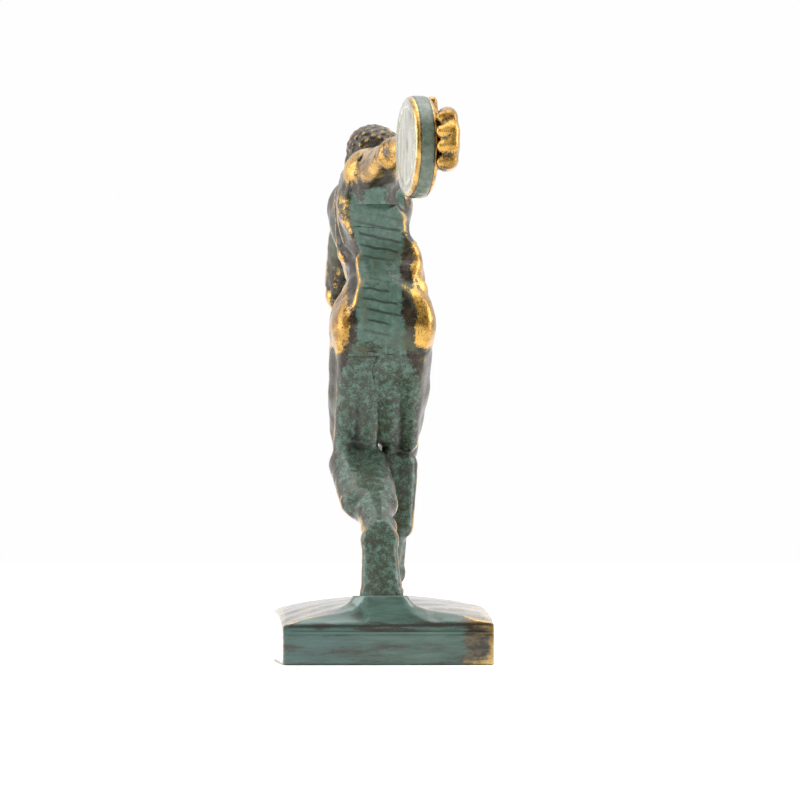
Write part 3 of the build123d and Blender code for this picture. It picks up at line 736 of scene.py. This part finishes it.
def hand_made(p, scale):
    """Slight unevenness of hand-worked wax."""
    a = np.sin(p[0] * 0.9 + 1.3 * np.sin(p[1] * 0.7)) * np.sin(p[2] * 0.8 + 1.1 * np.sin(p[0] * 0.6))
    b = np.sin(p[0] * 2.1 + 2.0) * np.sin(p[1] * 2.4 + p[2] * 1.1) * np.sin(p[2] * 1.9)
    return (scale * (a + 0.5 * b)).astype(np.float32)


def off_trunk(joint, form):
    return lambda q: np.minimum(side_of(joint, q) + GAP, JOINT_REACH - nearest(form, q))


def off_limb(joint, form):
    return lambda q: np.maximum(GAP - side_of(joint, q), nearest(form, q) - JOINT_REACH)


def casting(name, own, h, joint, body, uneven, low=None, high=None):
    """An arm or the head: its own form blended into its neighbour, cut at the joint plane and capped."""
    a, b = box_of(own)
    if low is not None:
        a, b = vec(low), vec(high)
    field = Field(a, b, h * FINE).apply(body).apply(own)
    field.d += hand_made(field.everywhere(), uneven)
    p, quads = skin(field)
    return build(name, cut_mesh((p, quads, []), off_limb(joint, own)), field)


def linked(name, data):
    obj = bpy.data.objects.new(name, data)
    bpy.context.scene.collection.objects.link(obj)
    return obj


def paint(data, key, values):
    attr = data.attributes.new(key, "FLOAT", "POINT")
    attr.data.foreach_set("value", np.asarray(values, np.float32))


def build(name, mesh, field):
    """A mesh object with its merged corners removed; two attributes say how raised each point is."""
    p, quads, loose = mesh
    faces = [tuple(int(i) for i in q) for q in quads] + [tuple(r) for r in loose]
    used = np.zeros(len(p), bool)
    for f in faces:
        used[list(f)] = True
    index = np.cumsum(used) - 1
    p = p[used]
    clean = []
    for f in faces:
        ring = []
        for i in f:
            if not ring or ring[-1] != index[i]:
                ring.append(int(index[i]))
        if ring[0] == ring[-1]:
            ring.pop()
        if len(set(ring)) >= 3:
            clean.append(ring)
    data = bpy.data.meshes.new(name)
    data.from_pydata([tuple(q * MM) for q in p], [], clean)
    data.validate(clean_customdata=False)
    for poly in data.polygons:
        poly.use_smooth = len(poly.vertices) < 6
    base = sample(np.clip(field.d, -FORM_CAP, FORM_CAP), field.low, field.h, p)
    for key, least, radius, unit_rise in (("fine_form", 1, 0.55, 0.10), ("broad_form", 2, 1.6, 0.42)):
        smooth = soften(field.d, max(least, int(round(radius / field.h))))
        rise = sample(smooth, field.low, field.h, p) - base
        paint(data, key, np.clip(rise / unit_rise, -1.5, 1.5))
    data.update()
    return linked(name, data)


def trunk_pieces():
    field = figure_field((-16.5, -14.0, 62.0), (28.5, 14.5, 112.0), 0.30, (head[:5], arm_r, arm_l))
    p, quads = skin(field)
    mesh = (p, quads, [])
    for joint, form in ((NECK, head[:5]), (ARM_R, arm_r), (ARM_L, arm_l), (LEG_R, leg_r), (LEG_L, leg_l)):
        mesh = cut_mesh(mesh, off_trunk(joint, form))
    upper = cut_mesh(mesh, lambda q: GAP - side_of(WAIST, q))
    lower = cut_mesh(mesh, lambda q: GAP + side_of(WAIST, q))
    return build("chest_casting", upper, field), build("pelvis_casting", lower, field)


chest_obj, pelvis_obj = trunk_pieces()
head_obj = casting("head_casting", head, 0.15, NECK, chest, 0.02, (3.0, -9.5, 98.5), (23.5, 12.5, 118.5))
arm_r_obj = casting("right_arm_casting", arm_r, 0.24, ARM_R, chest, 0.05)
arm_l_obj = casting("left_arm_casting", arm_l, 0.24, ARM_L, chest, 0.05)


def whole_leg(name, own, joint, foot):
    """A leg is meshed alone, blended only into the trunk it is pinned to."""
    low, high = box_of(own)
    field = Field(low, high, 0.28 * FINE)
    if foot:
        field.apply(own)
        file_flat(field, EDGE_LEFT, 1.0)
        body = Field(low, high, 0.28 * FINE).apply(pelvis)
        file_flat(body, EDGE_BODY, 0.0)
        field.d = soft_min(field.d, body.d, LEG_BLEND)
    else:
        field.apply(pelvis).apply(own)
        file_flat(field, EDGE_BODY, 0.0)
    field.d += hand_made(field.everywhere(), 0.06)
    p, quads = skin(field)
    mesh = cut_mesh((p, quads, []), off_limb(joint, own))
    if foot:
        mesh = cut_mesh(mesh, lambda q: np.where(q[:, 0] < -19.0, side_of(FOOT_L, q) + GAP, -1.0))
    return build(name, mesh, field)


leg_r_obj = whole_leg("right_leg_casting", leg_r, LEG_R, False)
leg_l_obj = whole_leg("left_leg_casting", leg_l, LEG_L, True)


def plinth_piece():
    field = Field(vec((-29.5, -23.8, -1.2)), vec((29.5, 23.8, 17.5)), 0.34 * FINE)
    field.apply(plinth)
    field.apply(boss)
    field.apply([drill(x, y) for x, y in STUDS])
    p, quads = skin(field)
    mesh = cut_mesh((p, quads, []), lambda q: np.where(q[:, 0] < -15, q[:, 2] - BOSS_TOP + GAP, -1.0))
    return build("plinth_casting", mesh, field)


plinth_obj = plinth_piece()


# ---- discus, turned
def lathe(name, profile, centre, axis, segments=160):
    """Turned plate; each profile station is (radius, height, face, gold, rim)."""
    m = axes_of(axis, (0, 0, 1))
    verts, faces, zones = [], [], []
    starts = [0]
    for r, t, *zone in profile:
        count = segments if r > 1e-6 else 1
        for j in range(count):
            a = 2 * math.pi * j / segments
            q = vec(centre) + m[2] * t + (m[0] * math.cos(a) + m[1] * math.sin(a)) * r
            verts.append(tuple(q * MM))
            zones.append(zone)
        starts.append(starts[-1] + count)
    for i in range(len(profile) - 1):
        a0, b0 = starts[i], starts[i + 1]
        na, nb = starts[i + 1] - a0, starts[i + 2] - b0
        for j in range(segments):
            k = (j + 1) % segments
            if na == 1:
                faces.append((a0, b0 + j, b0 + k))
            elif nb == 1:
                faces.append((a0 + k, a0 + j, b0))
            else:
                faces.append((a0 + k, a0 + j, b0 + j, b0 + k))
    data = bpy.data.meshes.new(name)
    data.from_pydata(verts, [], faces)
    data.validate()
    for i, key in enumerate(("face_zone", "gold_zone", "rim_zone")):
        paint(data, key, [z[i] for z in zones])
    for poly in data.polygons:
        poly.use_smooth = True
    return linked(name, data)


def discus_profile():
    face = [(0.0, 2.58), (0.8, 2.57), (1.5, 2.50), (1.8, 2.40), (2.1, 2.42), (3.4, 2.54), (5.2, 2.60),
            (6.8, 2.58), (7.7, 2.50), (7.95, 2.36), (8.15, 2.36), (8.4, 2.52), (8.9, 2.58), (9.4, 2.54),
            (9.75, 2.46)]
    edge = [(10.02, 2.34), (10.26, 2.14), (10.44, 1.88), (10.54, 1.62)]
    line = [(10.50, 1.50), (10.50, 1.38)]
    rim = [(10.62, 1.28), (10.68, 1.1), (10.70, 0.6), (10.70, 0.0)]
    half = [(r, t, 1.0, 0.0, 0.0) for r, t in face] + [(r, t, 0.0, 1.0, 0.0) for r, t in edge]
    half += [(r, t, 0.0, 0.0, 0.0) for r, t in line] + [(r, t, 0.0, 0.0, 1.0) for r, t in rim]
    return half + [(r, -t, f, g, e) for r, t, f, g, e in reversed(half[:-1])]


discus_obj = lathe("discus_plate", discus_profile(), DISC_C, DISC_AXIS)


# ---- materials
class Nodes:
    """Short spellings for building the node tree of a material or the world."""

    def __init__(self, block, shader="Principled BSDF"):
        block.use_nodes = True
        self.block = block
        self.t = block.node_tree
        self.shader = self.t.nodes[shader]

    def new(self, kind, **settings):
        node = self.t.nodes.new(kind)
        for key, value in settings.items():
            setattr(node, key, value)
        return node

    def put(self, socket, value):
        if hasattr(value, "is_output"):
            self.t.links.new(value, socket)
        elif value is not None:
            socket.default_value = value

    def math(self, op, a, b=None):
        node = self.new("ShaderNodeMath", operation=op)
        self.put(node.inputs[0], a)
        self.put(node.inputs[1], b)
        return node.outputs[0]

    add = partialmethod(math, "ADD")
    sub = partialmethod(math, "SUBTRACT")
    mul = partialmethod(math, "MULTIPLY")
    div = partialmethod(math, "DIVIDE")
    max = partialmethod(math, "MAXIMUM")
    min = partialmethod(math, "MINIMUM")
    abs = partialmethod(math, "ABSOLUTE")
    fract = partialmethod(math, "FRACT")

    def lump(self, value, amount):
        return self.mul(self.sub(value, 0.5), amount)

    def total(self, *values):
        out = values[0]
        for value in values[1:]:
            out = self.add(out, value)
        return out

    def mix(self, f, a, b):
        node = self.new("ShaderNodeMix", data_type="RGBA")
        self.put(node.inputs[0], f)
        self.put(node.inputs[6], a)
        self.put(node.inputs[7], b)
        return node.outputs[2]

    def blend(self, f, a, b):
        node = self.new("ShaderNodeMix", data_type="FLOAT")
        self.put(node.inputs[0], f)
        self.put(node.inputs[2], a)
        self.put(node.inputs[3], b)
        return node.outputs[0]

    def noise(self, co, scale, detail=3.0, rough=0.55, distortion=0.0):
        node = self.new("ShaderNodeTexNoise")
        self.put(node.inputs["Vector"], co)
        settings = (("Scale", scale), ("Detail", detail), ("Roughness", rough), ("Distortion", distortion))
        for key, value in settings:
            node.inputs[key].default_value = value
        return node.outputs[0]

    def step(self, value, low, high, to_low=0.0, to_high=1.0):
        node = self.new("ShaderNodeMapRange", interpolation_type="SMOOTHSTEP")
        self.put(node.inputs[0], value)
        for i, limit in enumerate((low, high, to_low, to_high)):
            node.inputs[i + 1].default_value = limit
        return node.outputs[0]

    def coords(self, stretch=(1, 1, 1), turn=(0, 0, 0)):
        tex = self.new("ShaderNodeTexCoord")
        mapping = self.new("ShaderNodeMapping")
        mapping.inputs["Scale"].default_value = [1000 * s for s in stretch]
        mapping.inputs["Rotation"].default_value = turn
        self.t.links.new(tex.outputs["Object"], mapping.inputs["Vector"])
        return mapping.outputs[0]

    def split(self, vector):
        node = self.new("ShaderNodeSeparateXYZ")
        self.t.links.new(vector, node.inputs[0])
        return node.outputs

    def attribute(self, name):
        return self.new("ShaderNodeAttribute", attribute_name=name).outputs["Fac"]

    def set(self, **values):
        """Constants or links on the shader, with _ for each space in a socket's name."""
        for key, value in values.items():
            self.put(self.shader.inputs[key.replace("_", " ")], value)

    def bump(self, height, strength, distance):
        node = self.new("ShaderNodeBump")
        node.inputs["Strength"].default_value = strength
        node.inputs["Distance"].default_value = distance
        self.put(node.inputs["Height"], height)
        return node.outputs[0]


def new_material(name):
    return Nodes(bpy.data.materials.new(name))


def rgb(r, g, b):
    """sRGB 0-255 to a linear colour."""
    def lin(c):
        c = c / 255
        return c / 12.92 if c <= 0.04045 else ((c + 0.055) / 1.055) ** 2.4
    return (lin(r), lin(g), lin(b), 1.0)


GREEN, GREEN_PALE = rgb(64, 90, 77), rgb(88, 116, 102)
DARK, BROWN = rgb(28, 24, 17), rgb(70, 56, 34)
GOLD, GOLD_DEEP = rgb(204, 160, 78), rgb(132, 96, 36)


def finish_metal(n, is_green, is_gold, colours, speck, height, bump_depth, coat):
    dark, verd, gold = colours
    rough = n.blend(is_gold, n.blend(is_green, 0.40, 0.56), n.step(speck, 0.3, 0.7, 0.22, 0.36))
    n.set(Base_Color=n.mix(is_gold, n.mix(is_green, dark, verd), gold),
          Metallic=n.blend(is_gold, n.blend(is_green, 0.55, 0.05), 1.0), Roughness=rough,
          Coat_Weight=coat, Coat_Roughness=0.16, Specular_IOR_Level=0.35,
          Normal=n.bump(height, 0.5, bump_depth))
    return n.block


def figure_material():
    """Patinated cast bronze: green down the filed edges, dark in hollows, rubbed gold on rounded forms;
    gold is also painted on as highlight on side- and upward-facing surfaces and held back as painted shade
    where surfaces face the camera.
    """
    n = new_material("figure_bronze")
    co = n.coords()
    x, y, z = n.split(co)
    nx, ny, nz = n.split(n.new("ShaderNodeNewGeometry").outputs["Normal"])
    fine, broad = n.attribute("fine_form"), n.attribute("broad_form")
    blotch = n.noise(co, 0.17, 5.0, 0.62, 0.4)
    mottle = n.noise(co, 0.7, 5.0, 0.68)
    speck = n.noise(co, 2.8, 3.0, 0.7)
    rear = n.mul(nx, -1.0)
    front = n.mul(nx, 0.72)
    calf = n.mul(n.step(z, 50.0, 46.5), n.mul(n.step(z, 26.0, 30.0), n.step(x, 7.0, 3.0)))
    topside = n.mul(n.add(n.mul(nz, 0.86), n.mul(rear, 0.5)), calf)
    facing = n.max(n.max(rear, front), topside)
    # the filed band: narrow down the trunk, wider and browner on the thighs
    width = n.add(n.step(z, 58.0, 70.0, 9.5, 5.0), n.step(z, 88.0, 96.0, 0.0, 1.2))
    off = n.abs(n.sub(y, 1.0))
    inside = n.div(n.sub(width, off), 3.0)
    inside = n.min(inside, 0.30)
    leg_tone = n.step(z, 62.0, 72.0, 0.10, 0.0)
    sole = n.step(z, 30.0, 26.0, 0.0, 0.25)
    worn = n.step(z, 104.0, 107.0, 0.0, -0.9)
    far_arm = n.step(x, 14.0, 18.0, 0.0, 0.40)
    field = n.total(facing, inside, far_arm, n.lump(blotch, 0.9), n.lump(mottle, 0.65),
                    n.lump(speck, 0.5), leg_tone, sole, worn)
    is_green = n.step(field, 0.84, 1.12)
    # gold: rubbed high points where the forms are raised, plus painted highlight on side-facing and
    # upward-facing surfaces
    rub_and_sheen = n.total(n.mul(broad, 0.80), n.mul(fine, 0.22),
                n.mul(n.abs(ny), 0.40), n.mul(n.max(nz, 0.0), 0.22),
                n.lump(blotch, 1.7), n.lump(mottle, 1.4), n.lump(speck, 0.8))
    # painted shade: less gold on surfaces facing the camera, more so low on the legs and on the far side
    # of the figure, less at the feet
    shaded = n.add(0.35, n.mul(0.75, n.max(n.step(z, 68.0, 60.0), n.step(x, 12.0, 16.0))))
    shaded = n.sub(shaded, n.mul(n.step(z, 34.0, 29.0), 0.7))
    rub_and_sheen = n.sub(rub_and_sheen, n.mul(n.step(rear, 0.0, 0.45), shaded))
    hair = n.mul(n.step(z, 109.0, 111.0), n.step(x, 3.0, 6.0))
    rub_and_sheen = n.sub(rub_and_sheen, n.mul(hair, 0.35))
    on_face = n.mul(n.step(z, 103.0, 105.0), n.mul(n.step(x, 4.0, 6.5), n.step(y, 3.0, 0.0)))
    rub_and_sheen = n.sub(rub_and_sheen, n.mul(on_face, n.mul(n.sub(rub_and_sheen, 0.66), 0.6)))
    # rubbed high points and painted highlight: extra gold on the outer sides of the hips and on the
    # reaching right arm
    hip_height = n.mul(n.step(z, 65.0, 70.0), n.step(z, 90.0, 83.0))
    hip = n.mul(n.step(n.abs(n.sub(y, 0.4)), 5.8, 7.6), hip_height)
    reach = n.mul(n.step(x, -3.0, -7.0), n.step(z, 101.0, 104.0))
    rub_and_sheen = n.total(rub_and_sheen, n.mul(hip, 0.80), n.mul(reach, 0.30))
    is_gold = n.mul(n.step(rub_and_sheen, 0.52, 0.98), n.sub(1.0, is_green))
    dark = n.mix(n.step(n.total(mottle, n.lump(speck, 0.4)), 0.40, 0.66), DARK, BROWN)
    dark = n.mix(n.step(blotch, 0.50, 0.68), dark, rgb(70, 76, 56))
    gold = n.mix(n.step(n.total(blotch, n.lump(speck, 0.5)), 0.34, 0.66), GOLD_DEEP, GOLD)
    verd = n.mix(n.step(mottle, 0.36, 0.74), GREEN, GREEN_PALE)
    verd = n.mix(n.step(blotch, 0.54, 0.72), verd, rgb(72, 76, 50))
    legs = n.step(z, 71.0, 64.0, 0.0, 0.85)
    browned = n.step(n.add(mottle, n.lump(speck, 0.6)), 0.62, 0.42)
    verd = n.mix(n.mul(legs, browned), verd, rgb(48, 48, 32))
    # tool nicks across the filed band
    slant = n.sub(z, n.mul(y, 0.20))
    slant = n.total(slant, n.lump(n.noise(co, 0.33, 1.0), 0.8))
    t = n.fract(n.div(slant, 2.3))
    nick = n.step(n.abs(n.sub(t, 0.5)), 0.19, 0.05)
    span = n.abs(n.sub(y, n.step(n.noise(co, 0.30, 0.0), 0.35, 0.65, -0.8, 2.4)))
    nick = n.mul(nick, n.step(span, 4.4, 2.6))
    nick = n.mul(nick, n.mul(n.step(z, 66.0, 73.0), n.step(z, 97.0, 92.0)))
    nick = n.mul(nick, n.step(rear, 0.80, 0.94))
    nick = n.mul(nick, n.step(mottle, 0.30, 0.46))
    pit = n.mul(n.step(speck, 0.36, 0.28), n.step(mottle, 0.62, 0.40))
    hollow = n.step(n.add(n.mul(fine, 0.8), n.mul(broad, 0.6)), -0.30, -1.25)
    deep = n.max(n.max(n.mul(nick, 0.85), n.mul(pit, 0.9)), n.mul(hollow, 0.85))
    clean = n.sub(1.0, deep)
    is_gold = n.mul(is_gold, clean)
    verd = n.mix(deep, verd, rgb(24, 28, 22))
    dark = n.mix(deep, dark, rgb(16, 14, 10))
    line_co = n.coords((0.10, 0.14, 1.0), (0.18, 0.0, 0.0))
    lines = n.mul(n.noise(line_co, 1.75, 2.0, 0.5), n.step(facing, 0.7, 0.95, 0.05, 0.55))
    grain = n.noise(co, 2.0, 5.0, 0.72)
    height = n.total(n.mul(grain, 0.55), lines, n.mul(deep, -0.55))
    return finish_metal(n, is_green, is_gold, (dark, verd, gold), speck, height, 0.00028, 0.4)


def plinth_material():
    n = new_material("plinth_bronze")
    co = n.coords()
    x, y, z = n.split(co)
    nx, ny, nz = n.split(n.new("ShaderNodeNewGeometry").outputs["Normal"])
    fine = n.attribute("fine_form")
    blotch = n.noise(co, 0.10, 5.0, 0.62, 0.4)
    speck = n.noise(co, 2.6, 3.0, 0.7)
    streak = n.noise(n.coords((1.0, 0.13, 1.0)), 0.62, 5.0, 0.66)
    scratch = n.noise(n.coords((0.16, 0.3, 1.0)), 0.9, 5.0, 0.7)
    rear = n.max(n.mul(nx, -1.0), n.mul(nx, 0.8))
    right = n.step(y, -13.0, -20.5, 0.0, 1.0)
    field = n.total(rear, n.step(z, 8.8, 10.5, 0.0, 0.3), n.lump(streak, 1.0), n.lump(blotch, 0.7),
                    n.lump(speck, 0.25), n.mul(right, -0.75))
    is_green = n.step(field, 0.50, 0.80)
    # gold: rubbed scratches and raised edges, more toward the right end, plus painted highlight on the top
    # and on side-facing surfaces
    rub_and_sheen = n.total(n.mul(fine, 0.28), n.mul(n.max(nz, 0.0), 0.25), n.lump(blotch, 0.7),
                n.lump(scratch, 1.5), n.lump(speck, 0.5), n.mul(right, 0.30), n.mul(n.abs(ny), 0.18))
    is_gold = n.mul(n.step(rub_and_sheen, 0.30, 0.85), n.sub(1.0, is_green))
    dark = n.mix(n.step(scratch, 0.38, 0.62), rgb(40, 34, 24), rgb(92, 82, 58))
    gold = n.mix(n.step(blotch, 0.34, 0.66), rgb(140, 112, 56), rgb(198, 166, 100))
    verd = n.mix(n.step(streak, 0.34, 0.70), rgb(50, 74, 64), rgb(74, 104, 92))
    verd = n.mix(n.step(y, -2.0, 18.0, 0.0, 0.35), verd, rgb(66, 98, 98))
    stain = n.total(streak, n.lump(speck, 0.35), n.step(z, 6.6, 8.2, 0.0, -0.12),
                    n.step(z, 8.8, 10.0, 0.0, 0.4))
    stain = n.step(stain, 0.46, 0.36)
    verd = n.mix(n.mul(stain, 0.8), verd, rgb(52, 44, 32))
    hollow = n.step(fine, -0.2, -1.0)
    pit = n.step(speck, 0.33, 0.26)
    deep = n.max(n.mul(pit, 0.8), n.mul(hollow, 0.7))
    # painted shade: a dark line along the top of the near end face, standing in for the shade of an
    # undercut
    undercut_shade = n.mul(n.step(n.abs(n.sub(n.add(z, n.mul(y, 0.012)), 8.35)), 0.45, 0.12),
                  n.step(x, -27.0, -27.6))
    deep = n.max(deep, n.mul(undercut_shade, 0.85))
    is_gold = n.mul(is_gold, n.sub(1.0, deep))
    verd = n.mix(deep, verd, rgb(28, 26, 20))
    dark = n.mix(deep, dark, rgb(18, 15, 10))
    height = n.total(n.mul(n.noise(co, 1.9, 5.0, 0.7), 0.45), n.mul(streak, 0.55), n.mul(deep, -0.4))
    return finish_metal(n, is_green, is_gold, (dark, verd, gold), speck, height, 0.00030, 1.0)


def discus_material():
    n = new_material("discus_bronze")
    co = n.coords()
    face, goldz, rim = n.attribute("face_zone"), n.attribute("gold_zone"), n.attribute("rim_zone")
    blotch = n.noise(co, 0.22, 4.0, 0.6, 0.3)
    mottle = n.noise(co, 0.8, 5.0, 0.68)
    speck = n.noise(co, 2.8, 3.0, 0.7)
    streak = n.noise(n.coords((1.0, 1.0, 0.16)), 0.9, 4.0, 0.65)
    is_green = n.step(n.total(rim, n.lump(mottle, 0.8), n.lump(blotch, 0.5)), 0.45, 0.75)
    is_gold = n.total(goldz, n.mul(face, 0.85), n.lump(streak, 0.5), n.lump(speck, 0.35))
    is_gold = n.step(is_gold, 0.42, 0.72)
    is_gold = n.mul(is_gold, n.sub(1.0, is_green))
    dark = n.mix(n.step(mottle, 0.40, 0.62), rgb(44, 38, 24), rgb(96, 84, 56))
    # painted reflection: the flat faces take a pale, near-white colour in place of the white reflection
    # they catch at a grazing angle
    painted_face_sheen = n.mix(n.step(streak, 0.34, 0.66), rgb(148, 144, 124), rgb(196, 194, 176))
    gold = n.mix(face, n.mix(n.step(mottle, 0.35, 0.65), GOLD_DEEP, GOLD), painted_face_sheen)
    verd = n.mix(n.step(mottle, 0.36, 0.70), rgb(66, 80, 64), rgb(96, 112, 94))
    height = n.total(n.mul(n.noise(co, 2.0, 5.0, 0.7), 0.4), n.mul(streak, 0.4))
    return finish_metal(n, is_green, is_gold, (dark, verd, gold), speck, height, 0.00025, 0.8)


figure_bronze = figure_material()
plinth_bronze = plinth_material()
discus_bronze = discus_material()


def plain_metal(name, color, rough, scale):
    n = new_material(name)
    co = n.coords()
    tone = n.noise(co, scale, 3.0)
    darker = tuple(c * 0.7 for c in color[:3]) + (1.0,)
    n.set(Base_Color=n.mix(n.step(tone, 0.35, 0.7), darker, color), Metallic=1.0,
          Roughness=n.step(tone, 0.3, 0.7, rough - 0.08, rough + 0.1),
          Normal=n.bump(n.noise(co, scale * 4, 2.0), 0.15, 0.0001))
    return n.block


steel = plain_metal("turned_steel", rgb(170, 170, 172), 0.32, 1.5)
pin_brass = plain_metal("drawn_brass", rgb(206, 160, 84), 0.3, 2.0)

VISIBLE = (
    (chest_obj, "chest", figure_bronze), (pelvis_obj, "pelvis", figure_bronze),
    (head_obj, "head", figure_bronze), (arm_r_obj, "right_arm", figure_bronze),
    (arm_l_obj, "left_arm", figure_bronze), (leg_r_obj, "right_leg", figure_bronze),
    (leg_l_obj, "left_leg", figure_bronze), (plinth_obj, "base_plinth", plinth_bronze),
    (discus_obj, "discus", discus_bronze),
)
for obj, node, material in VISIBLE:
    obj.data.materials.append(material)
    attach(obj, "root")
    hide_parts(node)

for name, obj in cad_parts.items():
    if "dowel" in name or "pin" in name:
        mat = pin_brass
    elif "stud" in name or "washer" in name or "nut" in name:
        mat = steel
    else:
        continue
    for slot in obj.material_slots:
        slot.material = mat

# ---- floor, light, camera
floor_white = new_material("floor_white")
floor_white.set(Base_Color=(0.93, 0.93, 0.93, 1), Roughness=0.9, Specular_IOR_Level=0.1)
floor_data = bpy.data.meshes.new("floor_sweep")
floor_data.from_pydata([(-4, -4, 0), (4, -4, 0), (4, 4, 0), (-4, 4, 0)], [], [(0, 1, 2, 3)])
floor_data.materials.append(floor_white.block)
linked("floor_sweep", floor_data)


def area(name, place, target, size, power):
    data = bpy.data.lights.new(name, "AREA")
    data.shape = "RECTANGLE"
    data.size, data.size_y = size
    data.energy = power
    obj = linked(name, data)
    obj.location = place
    obj.rotation_euler = (Vector(target) - Vector(place)).to_track_quat("-Z", "Y").to_euler()


area("left_box", (0.10, 0.75, 0.30), (0, 0, 0.06), (0.35, 0.6), 2.6)
area("right_box", (0.02, -0.75, 0.34), (0, 0, 0.06), (0.35, 0.6), 3.0)
area("top_box", (-0.05, 0.0, 0.9), (0, 0, 0.05), (0.7, 0.7), 3.0)
area("near_fill", (-1.2, 0.35, 0.55), (0, 0, 0.06), (0.6, 0.5), 1.5)

# bright ahead of the figure and overhead, dark behind the camera; the camera itself sees near white
world = bpy.data.worlds.new("studio")
bpy.context.scene.world = world
w = Nodes(world, "Background")
wx, _, wz = w.split(w.new("ShaderNodeTexCoord").outputs["Generated"])
glow = w.add(w.step(wx, -0.60, 0.25, 0.17, 1.05), w.step(wz, 0.50, 0.95, 0.0, 1.5))
seen = w.new("ShaderNodeLightPath").outputs["Is Camera Ray"]
w.set(Color=(1, 1, 1, 1), Strength=w.blend(seen, glow, 0.99))

TURN = math.radians(3.4)
DISTANCE = 1.300
EYE_HEIGHT = 0.028
PIXELS_PER_MM = 4.66     # at the axis, in an image 800 pixels wide
SENSOR = 36.0
AIM = Vector((-0.00024, -0.00399, 0.0563))
cam_data = bpy.data.cameras.new("camera")
cam = linked("camera", cam_data)
cam_data.sensor_width = SENSOR
cam_data.lens = PIXELS_PER_MM * 1300 / 800 * SENSOR
cam_data.clip_start, cam_data.clip_end = 0.05, 30
back = Vector((-math.cos(TURN) * DISTANCE, math.sin(TURN) * DISTANCE, EYE_HEIGHT - AIM.z))
cam.location = AIM + back
cam.rotation_mode = "QUATERNION"
cam.rotation_quaternion = (AIM - cam.location).to_track_quat("-Z", "Y")
bpy.context.scene.camera = cam
bpy.context.scene.view_settings.view_transform = "Standard"
